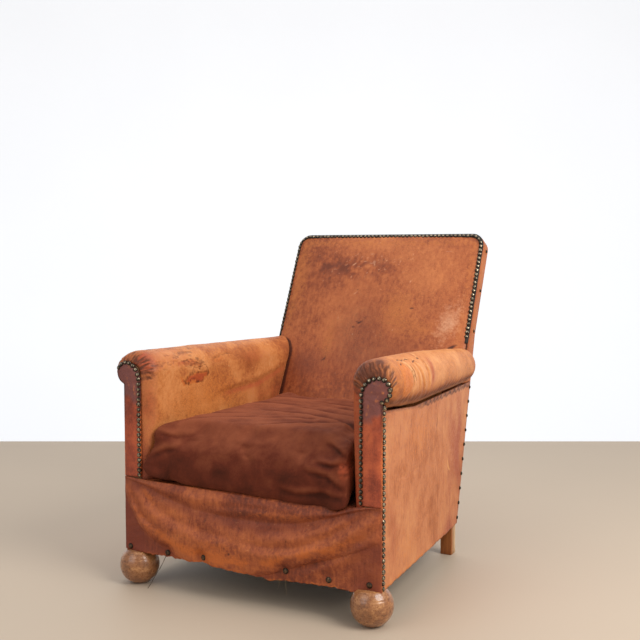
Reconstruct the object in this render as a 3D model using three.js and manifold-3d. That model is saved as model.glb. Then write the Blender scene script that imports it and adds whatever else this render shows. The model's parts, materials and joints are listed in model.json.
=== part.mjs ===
// A small worn leather club chair: beech frame, sprung seat, rolled arms, raked back, loose velvet cushion.
// Millimetres, +Z up, the front of the chair faces -Y. While it is being built, y = 0 is the front plane
// of the arm facings; at the end the whole chair is centred on its own plan, with its feet at z = 0.
import * as THREE from 'three';
import { mergeVertices } from 'three/addons/utils/BufferGeometryUtils.js';
import Module from 'manifold-3d';

const wasm = await Module();
wasm.setup();

// ---- Driving dimensions ----
const frontHalf = 325;        // centre to the side panel's face, at the front
const rearHalf = 282;         // centre to the side panel's face, at the rear edge
const rearFoot = 566;         // front plane to the rear surface, at the leather's lower edge
const skirtFoot = 77;         // height of the leather's lower edge
const lowerRake = 15;         // lean of the rear surface below the arm, degrees
const upperRake = 24.85;      // lean of the back above the arm, degrees
const kneeHeight = 549;       // height where the rear posts change their lean
const backPlaneFoot = 649;    // front plane to the back's nailed edge, at backPlaneHeight
const backPlaneHeight = 558;
const backHalf = 279;         // centre to the back's side edge
const backTop = 814;          // top of the back's nailed edge
const backCorner = 32;        // radius of the back's top corners
const borderDepth = 40;       // width of the border, square to the back's plane
const backCrown = 24;         // how far the stuffed back stands proud of its nailed edge
const skin = 2.4;             // leather with its lining
const gap = 0.4;              // clearance between pieces that touch

const armInnerFront = 247;    // centre to the inside arm, at the front
const armInnerRear = 226;     // centre to the inside arm, where it meets the back
const armFlare = 10;          // how far the inside arm leans out down to the seat
const armTopFront = 549;
const armTopRear = 530;
const armUnderFront = 449;    // underside of the roll
const armUnderRear = 431;
const armLength = 655;
const underRun = 200;         // the roll's underside rises towards the front over this length
const rollOverhang = 31;      // how far the roll stands out past the side panel
const armRound = 30;          // radius of the padded front edge
const armTuck = 200;          // height where the inside arm leather is tacked
const rearRound = 30;         // length over which the roll's rear end is rounded
const rearRoundDepth = 24;    // how far that end pulls in

const facingHeadX = 312;      // centre of the scroll's round head
const facingHeadZ = 488;
const facingHeadRadius = 33;
const facingFoot = 251;       // where the facing tucks under the apron

const seatDeck = 240.5;       // top of the seat platform
const ballRadius = 45.3;
const ballFlat = 14;          // radius of the small flat under each ball
const ballTop = 76;
const ballX = 297;
const ballY = 12;
const spigotRadius = 6.5;     // the turned peg that holds a ball in its post
const spigotLength = 30;
const legOuter = 279;
const legWidth = 30;
const legDepth = 28;

const railFoot = 81.5;
const railTop = 160;
const legTop = 766;
const postFront = 3;
const postDepth = 26;
const sideRailThick = 22;
const rearRailTop = 150;      // the seat's rear rail
const backRailFoot = 262;     // the back's lower rail
const backRailTop = 300;
const topRailFoot = 725;      // the back's top rail
const crossRailThick = 24;
const armRailFoot = 468;
const armRailTop = 486;
const tackRailFoot = 206;     // the rail that the inside arm is tacked to
const tackRailTop = 232;
const blockFoot = 100;        // the corner blocks behind the front posts
const blockTop = 150;
const blockReach = 60;

const springPitch = 125;
const springMiddleY = 255;
const springFoot = 86.8;
const springTop = 202.5;
const springWire = 2;
const webWidth = 50;
const webThick = 2;
const webTop = 82.2;          // top of the seat's straps, under the rails
const platformFront = 5;      // the seat's layers run between these depths
const platformRear = 500;
const platformSkin = 2;
const cushionTop = 386;
const cushionCorner = 24;     // radius of the cushion's corners in plan

const nailRadius = 2.2;       // half the thickness of a close row of dome nails
const apronNailHeight = 86;
const apronNailPlaces = [-311, -205, -108, 102, 205, 298];
const apronNailRadius = 8;
const apronNailDepth = 3.5;

// ---- Colours and finishes ----
function finish(hex, roughness, metalness = 0) {
  return () => new THREE.MeshStandardMaterial({ color: hex, roughness, metalness });
}
const wornLeather = finish(0xb4693c, 0.55);
const redLeather = finish(0x93503a, 0.55);
const brownVelvet = finish(0x6e3420, 0.95);
const beech = finish(0xc49a6c, 0.7);
const varnishedBall = finish(0x8a5a33, 0.45);
const juteWeb = finish(0xa58a5c, 0.95);
const hessian = finish(0x9c8055, 0.95);
const horsehair = finish(0x4a3a2a, 0.95);
const blackCloth = finish(0x2b2724, 0.9);
const springSteel = finish(0x77706a, 0.4, 0.9);
const agedBrass = finish(0x6f5a3a, 0.4, 0.9);

// ---- The chair's main surfaces ----
const slope = degrees => Math.tan(THREE.MathUtils.degToRad(degrees));
const mix = THREE.MathUtils.lerp;
const clamp01 = t => THREE.MathUtils.clamp(t, 0, 1);

// Rear surface of the chair at height z: it leans back, and more so above the arms.
function rearY(z) {
  const belowKnee = Math.min(z, kneeHeight) - skirtFoot;
  const aboveKnee = Math.max(z - kneeHeight, 0);
  return rearFoot + Math.max(belowKnee, 0) * slope(lowerRake) + aboveKnee * slope(upperRake);
}

// Plane of the back's nailed front edge.
const backY = z => backPlaneFoot + (z - backPlaneHeight) * slope(upperRake);

// Half width of the back at height z, with its rounded top corners.
function backHalfAt(z, inset = 0) {
  const intoCorner = clamp01((z - (backTop - backCorner)) / backCorner);
  return backHalf - inset - backCorner * (1 - Math.sqrt(1 - intoCorner * intoCorner));
}

// Face of the stuffed back, crowned between its edges.
function backFace(x, z) {
  const across = 1 - Math.pow(Math.abs(x) / backHalf, 4);
  const crownFoot = seatDeck - 60;
  const up = Math.sin(Math.PI * clamp01((z - crownFoot) / (backTop - crownFoot)));
  return backY(z) - backCrown * Math.max(across, 0) * Math.pow(Math.max(up, 0), 0.6);
}

// Face of the side panel.
const sideX = (y, z, inset = 0) => mix(frontHalf, rearHalf, y / rearY(z)) - inset;

// Inside arm at the seat, where the seat platform stops.
const armInnerX = y => mix(armInnerFront, armInnerRear, clamp01(y / backY(seatDeck)));
const seatHalf = y => armInnerX(y) + armFlare - skin - 1;

// ---- Solid makers ----
// Turns a closed triangle soup the right way out.
function facingOut(geometry) {
  const p = geometry.attributes.position;
  const index = geometry.index.array;
  const corner = i => new THREE.Vector3().fromBufferAttribute(p, index[i]);
  let volume = 0;
  for (let i = 0; i < index.length; i += 3) {
    volume += corner(i).dot(corner(i + 1).cross(corner(i + 2)));
  }
  if (volume < 0) {
    for (let i = 0; i < index.length; i += 3) {
      [index[i + 1], index[i + 2]] = [index[i + 2], index[i + 1]];
    }
  }
  return geometry;
}

function fromTriangles(points, triangles) {
  const geometry = new THREE.BufferGeometry().setFromPoints(points);
  geometry.setIndex(triangles);
  return facingOut(geometry);
}

// Sum of a closed ring's edge products: it points along the ring's normal.
function ringNormal(ring) {
  const normal = new THREE.Vector3();
  ring.forEach((a, i) => {
    const b = ring[(i + 1) % ring.length];
    normal.add(new THREE.Vector3().crossVectors(a, b));
  });
  return normal;
}

// Triangles that close one end of a loft, found in the plane that the ring faces most.
function capTriangles(ring) {
  const normal = ringNormal(ring);
  const size = [Math.abs(normal.x), Math.abs(normal.y), Math.abs(normal.z)];
  const drop = size.indexOf(Math.max(...size));
  const flat = ring.map(p => {
    const xyz = p.toArray();
    xyz.splice(drop, 1);
    return new THREE.Vector2(...xyz);
  });
  const turnedOver = THREE.ShapeUtils.isClockWise(flat);
  if (turnedOver) flat.reverse();
  const triangles = THREE.ShapeUtils.triangulateShape(flat, []);
  const last = ring.length - 1;
  return turnedOver ? triangles.map(t => t.map(i => last - i).reverse()) : triangles;
}

// A closed solid through rings of equal length.
function loft(rings) {
  const count = rings[0].length;
  const triangles = [];
  for (let r = 0; r + 1 < rings.length; r += 1) {
    for (let i = 0; i < count; i += 1) {
      const a = r * count + i;
      const b = r * count + (i + 1) % count;
      triangles.push(a, b, b + count, a, b + count, a + count);
    }
  }
  // The ends are closed so that both agree with the walls, whichever way the rings turn.
  const middle = ring => new THREE.Box3().setFromPoints(ring).getCenter(new THREE.Vector3());
  const along = middle(rings.at(-1)).sub(middle(rings[0]));
  [rings[0], rings.at(-1)].forEach((ring, end) => {
    const base = end * (rings.length - 1) * count;
    const ringFollowsNormal = ringNormal(ring).dot(along) > 0;
    for (const [a, b, c] of capTriangles(ring)) {
      const face = new THREE.Vector3().crossVectors(
        new THREE.Vector3().subVectors(ring[b], ring[a]),
        new THREE.Vector3().subVectors(ring[c], ring[a]));
      const facesAlong = face.dot(along) > 0;
      const shouldFaceAlong = (end === 1) === ringFollowsNormal;
      const [second, third] = facesAlong === shouldFaceAlong ? [b, c] : [c, b];
      triangles.push(base + a, base + second, base + third);
    }
  });
  return fromTriangles(rings.flat(), triangles);
}

// A closed solid between two sheets that share one grid of (u, v) in 0..1.
function between(lower, upper, columns, rows) {
  const points = [];
  const triangles = [];
  const at = (layer, i, j) => layer * (columns + 1) * (rows + 1) + j * (columns + 1) + i;
  for (const sheet of [lower, upper]) {
    for (let j = 0; j <= rows; j += 1) {
      for (let i = 0; i <= columns; i += 1) points.push(sheet(i / columns, j / rows));
    }
  }
  for (let j = 0; j < rows; j += 1) {
    for (let i = 0; i < columns; i += 1) {
      triangles.push(at(0, i, j), at(0, i, j + 1), at(0, i + 1, j + 1));
      triangles.push(at(0, i, j), at(0, i + 1, j + 1), at(0, i + 1, j));
      triangles.push(at(1, i, j), at(1, i + 1, j + 1), at(1, i, j + 1));
      triangles.push(at(1, i, j), at(1, i + 1, j), at(1, i + 1, j + 1));
    }
  }
  const rim = [];
  for (let i = 0; i < columns; i += 1) rim.push([i, 0]);
  for (let j = 0; j < rows; j += 1) rim.push([columns, j]);
  for (let i = columns; i > 0; i -= 1) rim.push([i, rows]);
  for (let j = rows; j > 0; j -= 1) rim.push([0, j]);
  rim.forEach(([i, j], k) => {
    const [m, n] = rim[(k + 1) % rim.length];
    triangles.push(at(0, i, j), at(0, m, n), at(1, m, n), at(0, i, j), at(1, m, n), at(1, i, j));
  });
  return fromTriangles(points, triangles);
}

const point = (x, y, z) => new THREE.Vector3(x, y, z);

// A board or block from its lowest to its highest corner.
function block(low, high) {
  const size = high.map((v, i) => v - low[i]);
  return new THREE.BoxGeometry(...size).translate(...low.map((v, i) => v + size[i] / 2));
}

// A thin or thick plate whose outline is drawn in x and z, from y = front to y = rear.
function plateXZ(outline, front, rear) {
  return loft([front, rear].map(y => outline.map(([x, z]) => point(x, y, z))));
}

// A rod of a few sides along a list of points.
function rod(points, radius, sides, steps) {
  const corners = [];
  for (let i = 0; i < sides; i += 1) {
    const turn = (i / sides) * 2 * Math.PI;
    corners.push(new THREE.Vector2(radius * Math.cos(turn), radius * Math.sin(turn)));
  }
  const path = new THREE.CatmullRomCurve3(points, false, 'centripetal');
  return new THREE.ExtrudeGeometry(new THREE.Shape(corners), { steps, extrudePath: path });
}

// ---- Cutting and joining ----
function toManifold(geometry) {
  const bare = geometry.clone();
  bare.deleteAttribute('normal');
  bare.deleteAttribute('uv');
  const merged = mergeVertices(bare, 1e-4);
  return new wasm.Manifold(new wasm.Mesh({
    numProp: 3,
    vertProperties: new Float32Array(merged.attributes.position.array),
    triVerts: new Uint32Array(merged.index.array),
  }));
}

function fromManifold(solid) {
  const mesh = solid.getMesh();
  const geometry = new THREE.BufferGeometry();
  geometry.setAttribute('position', new THREE.BufferAttribute(new Float32Array(mesh.vertProperties), 3));
  geometry.setIndex(Array.from(mesh.triVerts));
  return geometry;
}

const cut = (geometry, tools) => fromManifold(
  tools.reduce((solid, tool) => solid.subtract(toManifold(tool)), toManifold(geometry)));
const join = parts => fromManifold(parts.map(toManifold).reduce((a, b) => a.add(b)));

// ---- The chair ----
const chair = new THREE.Group();

function add(name, geometry, material) {
  const mesh = new THREE.Mesh(geometry, material());
  mesh.name = name;
  chair.add(mesh);
}

// Builds a piece for each side of the chair: side is 1 for +X and -1 for -X.
function onBothSides(build) {
  build('right', 1);
  build('left', -1);
}

// ---- Frame ----
// The scroll-headed outline that the facing and the post behind it share.
function scrollOutline(side, inset, foot) {
  const radius = facingHeadRadius - inset;
  const inner = facingHeadX - radius;
  const outer = frontHalf - inset;
  const undercut = -Math.acos((outer - facingHeadX) / radius);
  const outline = [[side * inner, foot]];
  const headSteps = 12;
  for (let i = 0; i <= headSteps; i += 1) {
    const turn = mix(Math.PI, undercut, i / headSteps);
    outline.push([side * (facingHeadX + radius * Math.cos(turn)), facingHeadZ + radius * Math.sin(turn)]);
  }
  outline.push([side * outer, foot]);
  return outline;
}

function frontPost(side, clearance = 0) {
  const inset = 5 - clearance;
  const outline = scrollOutline(side, inset, ballTop + gap - clearance);
  return plateXZ(outline, postFront - clearance, postFront + postDepth + clearance);
}

function spigotHole(side) {
  const radius = spigotRadius + gap;
  return new THREE.CylinderGeometry(radius, radius, 2 * spigotLength + 2, 12)
    .rotateX(Math.PI / 2)
    .translate(side * ballX, ballY, ballTop);
}

// The rear post and leg are one piece of wood, square at the floor and leaning back above the seat.
function rearLeg(side, clearance = 0) {
  const outer = legOuter + clearance;
  const inner = legOuter - legWidth - clearance;
  const heights = [0, skirtFoot, kneeHeight, legTop];
  return loft(heights.map(z => {
    const rear = rearY(z) - skin - gap + clearance;
    const front = rear - legDepth - 2 * clearance;
    const corners = [[inner, front], [outer, front], [outer, rear], [inner, rear]];
    return corners.map(([x, y]) => point(side * x, y, z));
  }));
}

// A rail across the chair between the rear legs.
function rearCrossRail(half, foot, top) {
  const rear = z => rearY(z) - skin - gap;
  const front = z => rear(z) - crossRailThick;
  const outline = [[front(foot), foot], [rear(foot), foot], [rear(top), top], [front(top), top]];
  return loft([-half, half].map(x => outline.map(([y, z]) => point(x, y, z))));
}

// A rail along the side, from the front post to the rear leg, between two offsets from the side panel.
function lengthRail(side, outerInset, innerInset, foot, top, clearance = 0) {
  const start = postFront + postDepth + gap - clearance;
  const stop = z => rearY(z) - skin - 2 * gap - legDepth + clearance;
  const outer = outerInset - clearance;
  const inner = innerInset + clearance;
  const low = foot - clearance;
  const high = top + clearance;
  const corners = [[outer, low], [outer, high], [inner, high], [inner, low]];
  const ring = yAt => corners.map(([inset, z]) => point(side * (sideX(yAt(z), z) - inset), yAt(z), z));
  return loft([ring(() => start), ring(stop)]);
}

const armRailAt = (side, clearance) =>
  lengthRail(side, skin + 8, skin + 28, armRailFoot, armRailTop, clearance);
const tackRailAt = (side, clearance) =>
  lengthRail(side, skin + 3, skin + 22, tackRailFoot, tackRailTop, clearance);

function cornerBlock(side) {
  const start = postFront + postDepth + gap;
  const stop = start + blockReach;
  const wall = y => sideX(y, railTop) - skin - sideRailThick - 2 * gap - 3;
  const outline = [[wall(start), start], [wall(start) - blockReach, start], [wall(stop), stop]];
  return loft([blockFoot, blockTop].map(z => outline.map(([x, y]) => point(side * x, y, z))));
}

function ballFoot() {
  const centre = Math.sqrt(ballRadius ** 2 - ballFlat ** 2);
  const lowest = -Math.acos(ballFlat / ballRadius);
  const highest = Math.asin((ballTop - centre) / ballRadius);
  const profile = [new THREE.Vector2(0, 0)];
  const steps = 9;
  for (let i = 0; i <= steps; i += 1) {
    const turn = mix(lowest, highest, i / steps);
    profile.push(new THREE.Vector2(ballRadius * Math.cos(turn), centre + ballRadius * Math.sin(turn)));
  }
  profile.push(new THREE.Vector2(spigotRadius, ballTop));
  profile.push(new THREE.Vector2(spigotRadius, ballTop + spigotLength));
  profile.push(new THREE.Vector2(0, ballTop + spigotLength));
  return new THREE.LatheGeometry(profile, 16).rotateX(Math.PI / 2);
}

function buildFrame() {
  const betweenPosts = facingHeadX - facingHeadRadius + 5 - gap;
  const postRear = postFront + postDepth;
  add('front_rail', block([-betweenPosts, 5, railFoot], [betweenPosts, postRear, railTop]), beech);
  const betweenLegs = legOuter - legWidth - gap;
  add('rear_seat_rail', rearCrossRail(betweenLegs, railFoot, rearRailTop), beech);
  add('back_lower_rail', rearCrossRail(betweenLegs, backRailFoot, backRailTop), beech);
  add('back_top_rail', rearCrossRail(betweenLegs, topRailFoot, legTop), beech);
  onBothSides((name, side) => {
    add(`front_post_${name}`, cut(frontPost(side), [spigotHole(side)]), beech);
    add(`rear_leg_${name}`, rearLeg(side), beech);
    const outer = skin + 3;
    const inner = outer + sideRailThick;
    add(`side_rail_${name}`, lengthRail(side, outer, inner, railFoot, railTop), beech);
    add(`arm_rail_${name}`, armRailAt(side, 0), beech);
    add(`arm_tack_rail_${name}`, tackRailAt(side, 0), beech);
    add(`corner_block_${name}`, cornerBlock(side), beech);
    add(`ball_foot_${name}`, ballFoot().translate(side * ballX, ballY, 0), varnishedBall);
  });
}

// ---- Seat ----
// Straps run front to back below and side to side above, tacked under the rails.
function seatWebbing() {
  const half = webWidth / 2;
  const straps = [];
  for (let i = -1; i <= 1; i += 1) {
    const x = i * springPitch;
    straps.push(block([x - half, 6, webTop - webThick], [x + half, 534, webTop - 0.9]));
    const y = springMiddleY + i * springPitch;
    straps.push(block([-252, y - half, webTop - 1], [252, y + half, webTop + 1]));
  }
  return join(straps);
}

// An hourglass spring, wide at both ends.
function seatSpring() {
  const turns = 4;
  const stepsPerTurn = 8;
  const endRadius = 38;
  const waistRadius = 26;
  const points = [];
  const last = turns * stepsPerTurn;
  for (let i = 0; i <= last; i += 1) {
    const t = i / last;
    const angle = 2 * Math.PI * turns * t;
    const radius = mix(waistRadius, endRadius, (2 * t - 1) ** 2);
    const z = mix(springFoot + springWire, springTop - springWire, t);
    points.push(point(radius * Math.cos(angle), radius * Math.sin(angle), z));
  }
  return rod(points, springWire, 4, last);
}

// Height of the spring cover, which slopes from the spring tops down to the rails.
function springCoverZ(u, v) {
  const towardsMiddle = Math.min(u, 1 - u, v, 1 - v) * 8;
  return mix(railTop + 2, springTop + gap, clamp01(towardsMiddle));
}

function seatLayer(lower, upper, columns, rows) {
  const place = height => (u, v) => {
    const y = mix(platformFront, platformRear, v);
    return point(mix(-1, 1, u) * seatHalf(y), y, height(u, v));
  };
  return between(place(lower), place(upper), columns, rows);
}

// Cloth tacked under the rails, cut round the feet of the front posts and stopped in front of the legs.
function dustCover() {
  const betweenPosts = facingHeadX - facingHeadRadius + 4;
  const front = 8;
  const behindPosts = postFront + postDepth + 2;
  const rear = 533;
  const half = y => sideX(y, skirtFoot) - skin - 8;
  const rightSide = [[betweenPosts, front], [betweenPosts, behindPosts],
    [half(behindPosts), behindPosts], [half(rear), rear]];
  const outline = [...rightSide, ...rightSide.map(([x, y]) => [-x, y]).reverse()];
  const foot = skirtFoot + 0.5;
  return loft([foot, foot + 1.5].map(z => outline.map(([x, y]) => point(x, y, z))));
}

function buildSeat() {
  add('seat_webbing', seatWebbing(), juteWeb);
  for (let row = 0; row < 3; row += 1) {
    for (let column = 0; column < 3; column += 1) {
      const x = (column - 1) * springPitch;
      const y = springMiddleY + (row - 1) * springPitch;
      add(`seat_spring_${row * 3 + column + 1}`, seatSpring().translate(x, y, 0), springSteel);
    }
  }
  const coverTop = (u, v) => springCoverZ(u, v) + 1.6;
  const stuffingFoot = (u, v) => coverTop(u, v) + gap;
  const platformFoot = seatDeck - platformSkin;
  add('spring_cover', seatLayer(springCoverZ, coverTop, 8, 8), hessian);
  add('seat_stuffing', seatLayer(stuffingFoot, () => platformFoot - gap, 8, 8), horsehair);
  add('seat_platform_cover', seatLayer(() => platformFoot, () => seatDeck, 2, 2), hessian);
  add('dust_cover', dustCover(), blackCloth);
}

// ---- Back ----
// A layer of the back between two depths, measured square to the back's plane from its nailed face.
function backLayer(frontDepth, rearDepth, foot, inset, columns, rows) {
  const place = depth => (u, v) => {
    // Rows gather towards the top, where the corners turn.
    const z = mix(foot, backTop - inset, 1 - (1 - v) ** 1.7);
    const x = mix(-1, 1, u) * backHalfAt(Math.min(z + inset, backTop), inset);
    const [y, drop] = squareOff(depth(z));
    return point(x, backFace(x, z) + y, z - drop * v);
  };
  return between(place(frontDepth), place(rearDepth), columns, rows);
}

// How far back and how far down a step square to the back's plane goes.
const backLean = THREE.MathUtils.degToRad(upperRake);
const squareOff = depth => [depth * Math.cos(backLean), depth * Math.sin(backLean)];

// A sheet of leather whose outline is drawn in y and z, on one side of the chair.
function plateYZ(outline, side, inner, thickness) {
  return loft([inner, inner + thickness].map(x => outline.map(([y, z]) => point(side * x, y, z))));
}

// One side of the leather border that wraps the back's edge, outside the rear post.
function sideBorder(side) {
  const foot = armUnderRear;
  const top = backTop - backCorner - gap;
  const [rearward, drop] = squareOff(borderDepth);
  const inside = z => rearY(z) - skin - gap;
  const outline = [[backY(foot), foot], [backY(top), top], [backY(top) + rearward, top - drop],
    [inside(kneeHeight), kneeHeight], [inside(foot), foot]];
  return plateYZ(outline, side, backHalf + gap, skin);
}

// The border over the top, round both corners.
function topBorder() {
  const cornerSteps = 5;
  const arch = radius => {
    const line = [];
    for (let i = 0; i <= cornerSteps; i += 1) {
      const turn = (Math.PI / 2) * (i / cornerSteps);
      const x = backHalf - backCorner + radius * Math.cos(turn);
      line.push([x, backTop - backCorner + radius * Math.sin(turn)]);
    }
    return [...line, ...line.map(([x, z]) => [-x, z]).reverse()];
  };
  const outline = [...arch(backCorner + gap + skin), ...arch(backCorner + gap).reverse()];
  const [rearward, drop] = squareOff(borderDepth);
  const front = outline.map(([x, z]) => point(x, backY(z), z));
  return loft([front, front.map(p => point(p.x, p.y + rearward, p.z - drop))]);
}

// Leather over the whole rear surface, bent at the knee of the posts and rounded at its top corners.
function outsideBack() {
  const top = backTop - squareOff(borderDepth)[1] + 2;
  const half = rearHalf - gap;
  const cornerSteps = 5;
  const levels = [[skirtFoot, half], [kneeHeight, half]];
  for (let i = 0; i <= cornerSteps; i += 1) {
    const turn = (Math.PI / 2) * (i / cornerSteps);
    levels.push([top - backCorner * (1 - Math.sin(turn)), half - backCorner * (1 - Math.cos(turn))]);
  }
  return loft(levels.map(([z, x]) => [point(-x, rearY(z) - skin, z), point(x, rearY(z) - skin, z),
    point(x, rearY(z), z), point(-x, rearY(z), z)]));
}

// Straps tacked to the front of the posts, bent at the knee, with the cross straps in front of them.
function backWebbing() {
  const plane = z => rearY(z) - skin - 2 * gap - legDepth;
  const strap = (left, right, heights, lift) => {
    const near = heights.map(z => [plane(z) - lift - webThick, z]);
    const far = heights.map(z => [plane(z) - lift, z]).reverse();
    return loft([left, right].map(x => [...near, ...far].map(([y, z]) => point(x, y, z))));
  };
  const half = webWidth / 2;
  const crossHalf = legOuter - legWidth / 2;
  const uprights = [-springPitch, 0, springPitch];
  const crossings = [340, 435, 600, 700];
  const heights = [backRailFoot + 6, kneeHeight, legTop];
  return join([
    ...uprights.map(x => strap(x - half, x + half, heights, 0)),
    ...crossings.map(z => strap(-crossHalf, crossHalf, [z - half, z + half], webThick / 2)),
  ]);
}

function buildBack() {
  const foot = seatDeck + 3;
  const webFront = z => rearY(z) - skin - 2 * gap - legDepth - 3 * webThick;
  const stuffingRear = z => (webFront(z) - backY(z)) * Math.cos(backLean);
  const armRails = [armRailAt(1, gap), armRailAt(-1, gap)];
  const stuffing = backLayer(() => skin + 1, stuffingRear, foot, 3, 8, 10);
  const cover = backLayer(() => 0, () => skin, foot, 0, 8, 12);
  add('back_webbing', backWebbing(), juteWeb);
  add('back_stuffing', cut(stuffing, armRails), horsehair);
  add('back_cover', cut(cover, armRails), wornLeather);
  add('back_border_top', topBorder(), wornLeather);
  onBothSides((name, side) => add(`back_border_${name}`, sideBorder(side), wornLeather));
  add('outside_back', outsideBack(), redLeather);
}

// Everything the back takes up, for cutting the arms that butt against it.
function backClearance() {
  const foot = armTuck - 20;
  const place = (x, z, rearward) => point(x, rearward ? rearY(z) + 60 : backFace(x, z) - 2 * gap, z);
  const grid = rearward => (u, v) => {
    const x = mix(-1, 1, u) * (backHalf + skin + 2 * gap);
    return place(x, mix(foot, backTop, v), rearward);
  };
  return between(grid(false), grid(true), 16, 12);
}

// ---- Arms ----
// Height of the roll's underside.
const underRoll = y => mix(armUnderFront, armUnderRear, clamp01(y / underRun));

// Outline of an arm across the chair at distance y from the front: round the roll from under its
// outer side to its inner side, then down the inside arm. inset shrinks it towards the frame.
function armOutline(y, inset) {
  const rollSteps = 12;
  const t = clamp01(y / armLength);
  const full = {
    inner: mix(armInnerFront, armInnerRear, t) + inset,
    outer: sideX(y, armUnderRear) + rollOverhang - inset,
    top: mix(armTopFront, armTopRear, t) - inset,
    under: underRoll(y) + inset,
    flare: armFlare,
  };
  const front = {
    inner: facingHeadX - facingHeadRadius + inset,
    outer: facingHeadX + facingHeadRadius - inset,
    top: facingHeadZ + facingHeadRadius - inset,
    under: facingHeadZ - facingHeadRadius + inset,
    flare: 0,
  };
  const ease = y >= armRound ? 1 : Math.sqrt(1 - (1 - y / armRound) ** 2);
  const at = key => mix(front[key], full[key], ease);
  const centreX = (at('inner') + at('outer')) / 2;
  const centreZ = (at('top') + at('under')) / 2;
  const halfX = (at('outer') - at('inner')) / 2;
  const halfZ = (at('top') - at('under')) / 2;
  const start = -Math.acos(clamp01((sideX(y, armUnderRear) - skin - gap - centreX) / halfX));
  const outline = [];
  for (let i = 0; i <= rollSteps; i += 1) {
    const turn = mix(start, Math.PI, i / rollSteps);
    outline.push([centreX + halfX * Math.cos(turn), centreZ + halfZ * Math.sin(turn)]);
  }
  outline.push([at('inner') + at('flare') * 0.6, mix(centreZ, seatDeck, 0.6)]);
  outline.push([at('inner') + at('flare'), armTuck]);
  return outline;
}

const armStations = [0, 2, 6, 13, 22, armRound, 140, 300, 460, 600, 630, 648, armLength];

// Rounds the roll's rear end.
function rearRounding(y) {
  const into = clamp01((y - (armLength - rearRound)) / rearRound);
  return rearRoundDepth * (1 - Math.sqrt(1 - into * into * 0.98));
}

function armCover(side) {
  const rings = armStations.map(y => {
    const outer = armOutline(y, rearRounding(y));
    const inner = armOutline(y, rearRounding(y) + skin).reverse();
    return [...outer, ...inner].map(([x, z]) => point(side * x, y, z));
  });
  return cut(loft(rings), [backClearance()]);
}

function armStuffing(side) {
  const padThick = 14;
  const padTop = armRailFoot - 12;
  const rings = armStations.slice(1).map(y => {
    const outline = armOutline(y, rearRounding(y) + skin + 3 * gap);
    const [startX, startZ] = outline[0];
    const backing = Math.min(outline.at(-1)[0] + padThick, legOuter + 2);
    outline.push([backing, armTuck], [backing, padTop], [startX - 3, Math.max(startZ, padTop)]);
    return outline.map(([x, z]) => point(side * x, y, z));
  });
  return cut(loft(rings), [
    frontPost(side, gap),
    armRailAt(side, gap),
    tackRailAt(side, gap),
    rearLeg(side, gap),
    backClearance(),
  ]);
}

// The flat leather side, from its lower edge up to the underside of the roll.
function outsideArm(side) {
  const belowRoll = 1;
  const middle = 250;
  const rearEdge = z => rearY(z) - skin - gap;
  const ring = (top, yAt) => {
    const heights = [skirtFoot, middle, top];
    const at = inset => z => point(side * sideX(yAt(z), z, inset), yAt(z), z);
    return [...heights.map(at(0)), ...heights.reverse().map(at(skin))];
  };
  const rings = [0, 60, underRun, 430].map(y => ring(underRoll(y) - belowRoll, () => y));
  return loft([...rings, ring(armUnderRear - belowRoll, rearEdge)]);
}

function armFacing(side) {
  return plateXZ(scrollOutline(side, 0, facingFoot), -gap - skin, -gap);
}

// The close row of dome nails: up the facing's inner edge, over its head, and down the side's front edge.
function armNailRow(side) {
  const inFront = -2 * gap - skin - nailRadius;
  const outside = frontHalf + gap + nailRadius;
  const inset = 3;
  const head = scrollOutline(side, inset, facingFoot + 3).slice(0, -1);
  const points = head.map(([x, z]) => point(x, inFront, z));
  const undercut = points.at(-1).z;
  points.push(point(side * (outside + 2), inFront + 1, undercut - 8));
  points.push(point(side * (outside + 0.5), 4, undercut - 18));
  for (const z of [380, 250, 120, skirtFoot + 5]) points.push(point(side * outside, 4, z));
  return rod(points, nailRadius, 5, 36);
}

function buildArms() {
  onBothSides((name, side) => {
    add(`arm_stuffing_${name}`, armStuffing(side), horsehair);
    add(`arm_cover_${name}`, armCover(side), wornLeather);
    add(`outside_arm_${name}`, outsideArm(side), wornLeather);
    add(`arm_facing_${name}`, armFacing(side), redLeather);
    add(`arm_nail_row_${name}`, armNailRow(side), agedBrass);
  });
}

// ---- Front, cushion and nails ----
function frontApron() {
  const shoulder = facingHeadX - facingHeadRadius;
  const lipTop = seatDeck + gap + skin;
  const rightHalf = [[frontHalf, skirtFoot], [frontHalf, facingFoot - gap],
    [shoulder - 2, facingFoot - gap], [shoulder - 20, lipTop]];
  const drop = [...rightHalf, ...rightHalf.map(([x, z]) => [-x, z]).reverse()];
  const lipHalf = seatHalf(30) - 2;
  const lip = block([-lipHalf, -1.5, seatDeck + gap], [lipHalf, 58, lipTop]);
  return join([plateXZ(drop, -gap - skin, -gap), lip]);
}

function seatCushion() {
  const foot = seatDeck + gap + skin + 1;
  const top = cushionTop;
  const layers = [[foot, 26], [foot + 8, 10], [foot + 30, 2], [top - 34, 2], [top - 10, 9], [top, 26]];
  const cornerSteps = 4;
  const radius = cushionCorner;
  return loft(layers.map(([z, inset]) => {
    const front = 8 + inset;
    const rear = backFace(0, z) - 2 - inset;
    const ring = [];
    const corners = [[1, front, -90], [1, rear, 0], [-1, rear, 90], [-1, front, 180]];
    for (const [side, y, from] of corners) {
      const middleX = side * (seatHalf(y) - 7 - inset - radius);
      const middleY = y === front ? front + radius : rear - radius;
      for (let i = 0; i <= cornerSteps; i += 1) {
        const turn = THREE.MathUtils.degToRad(from + (90 * i) / cornerSteps);
        ring.push(point(middleX + radius * Math.cos(turn), middleY + radius * Math.sin(turn), z));
      }
    }
    return ring;
  }));
}

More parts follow.
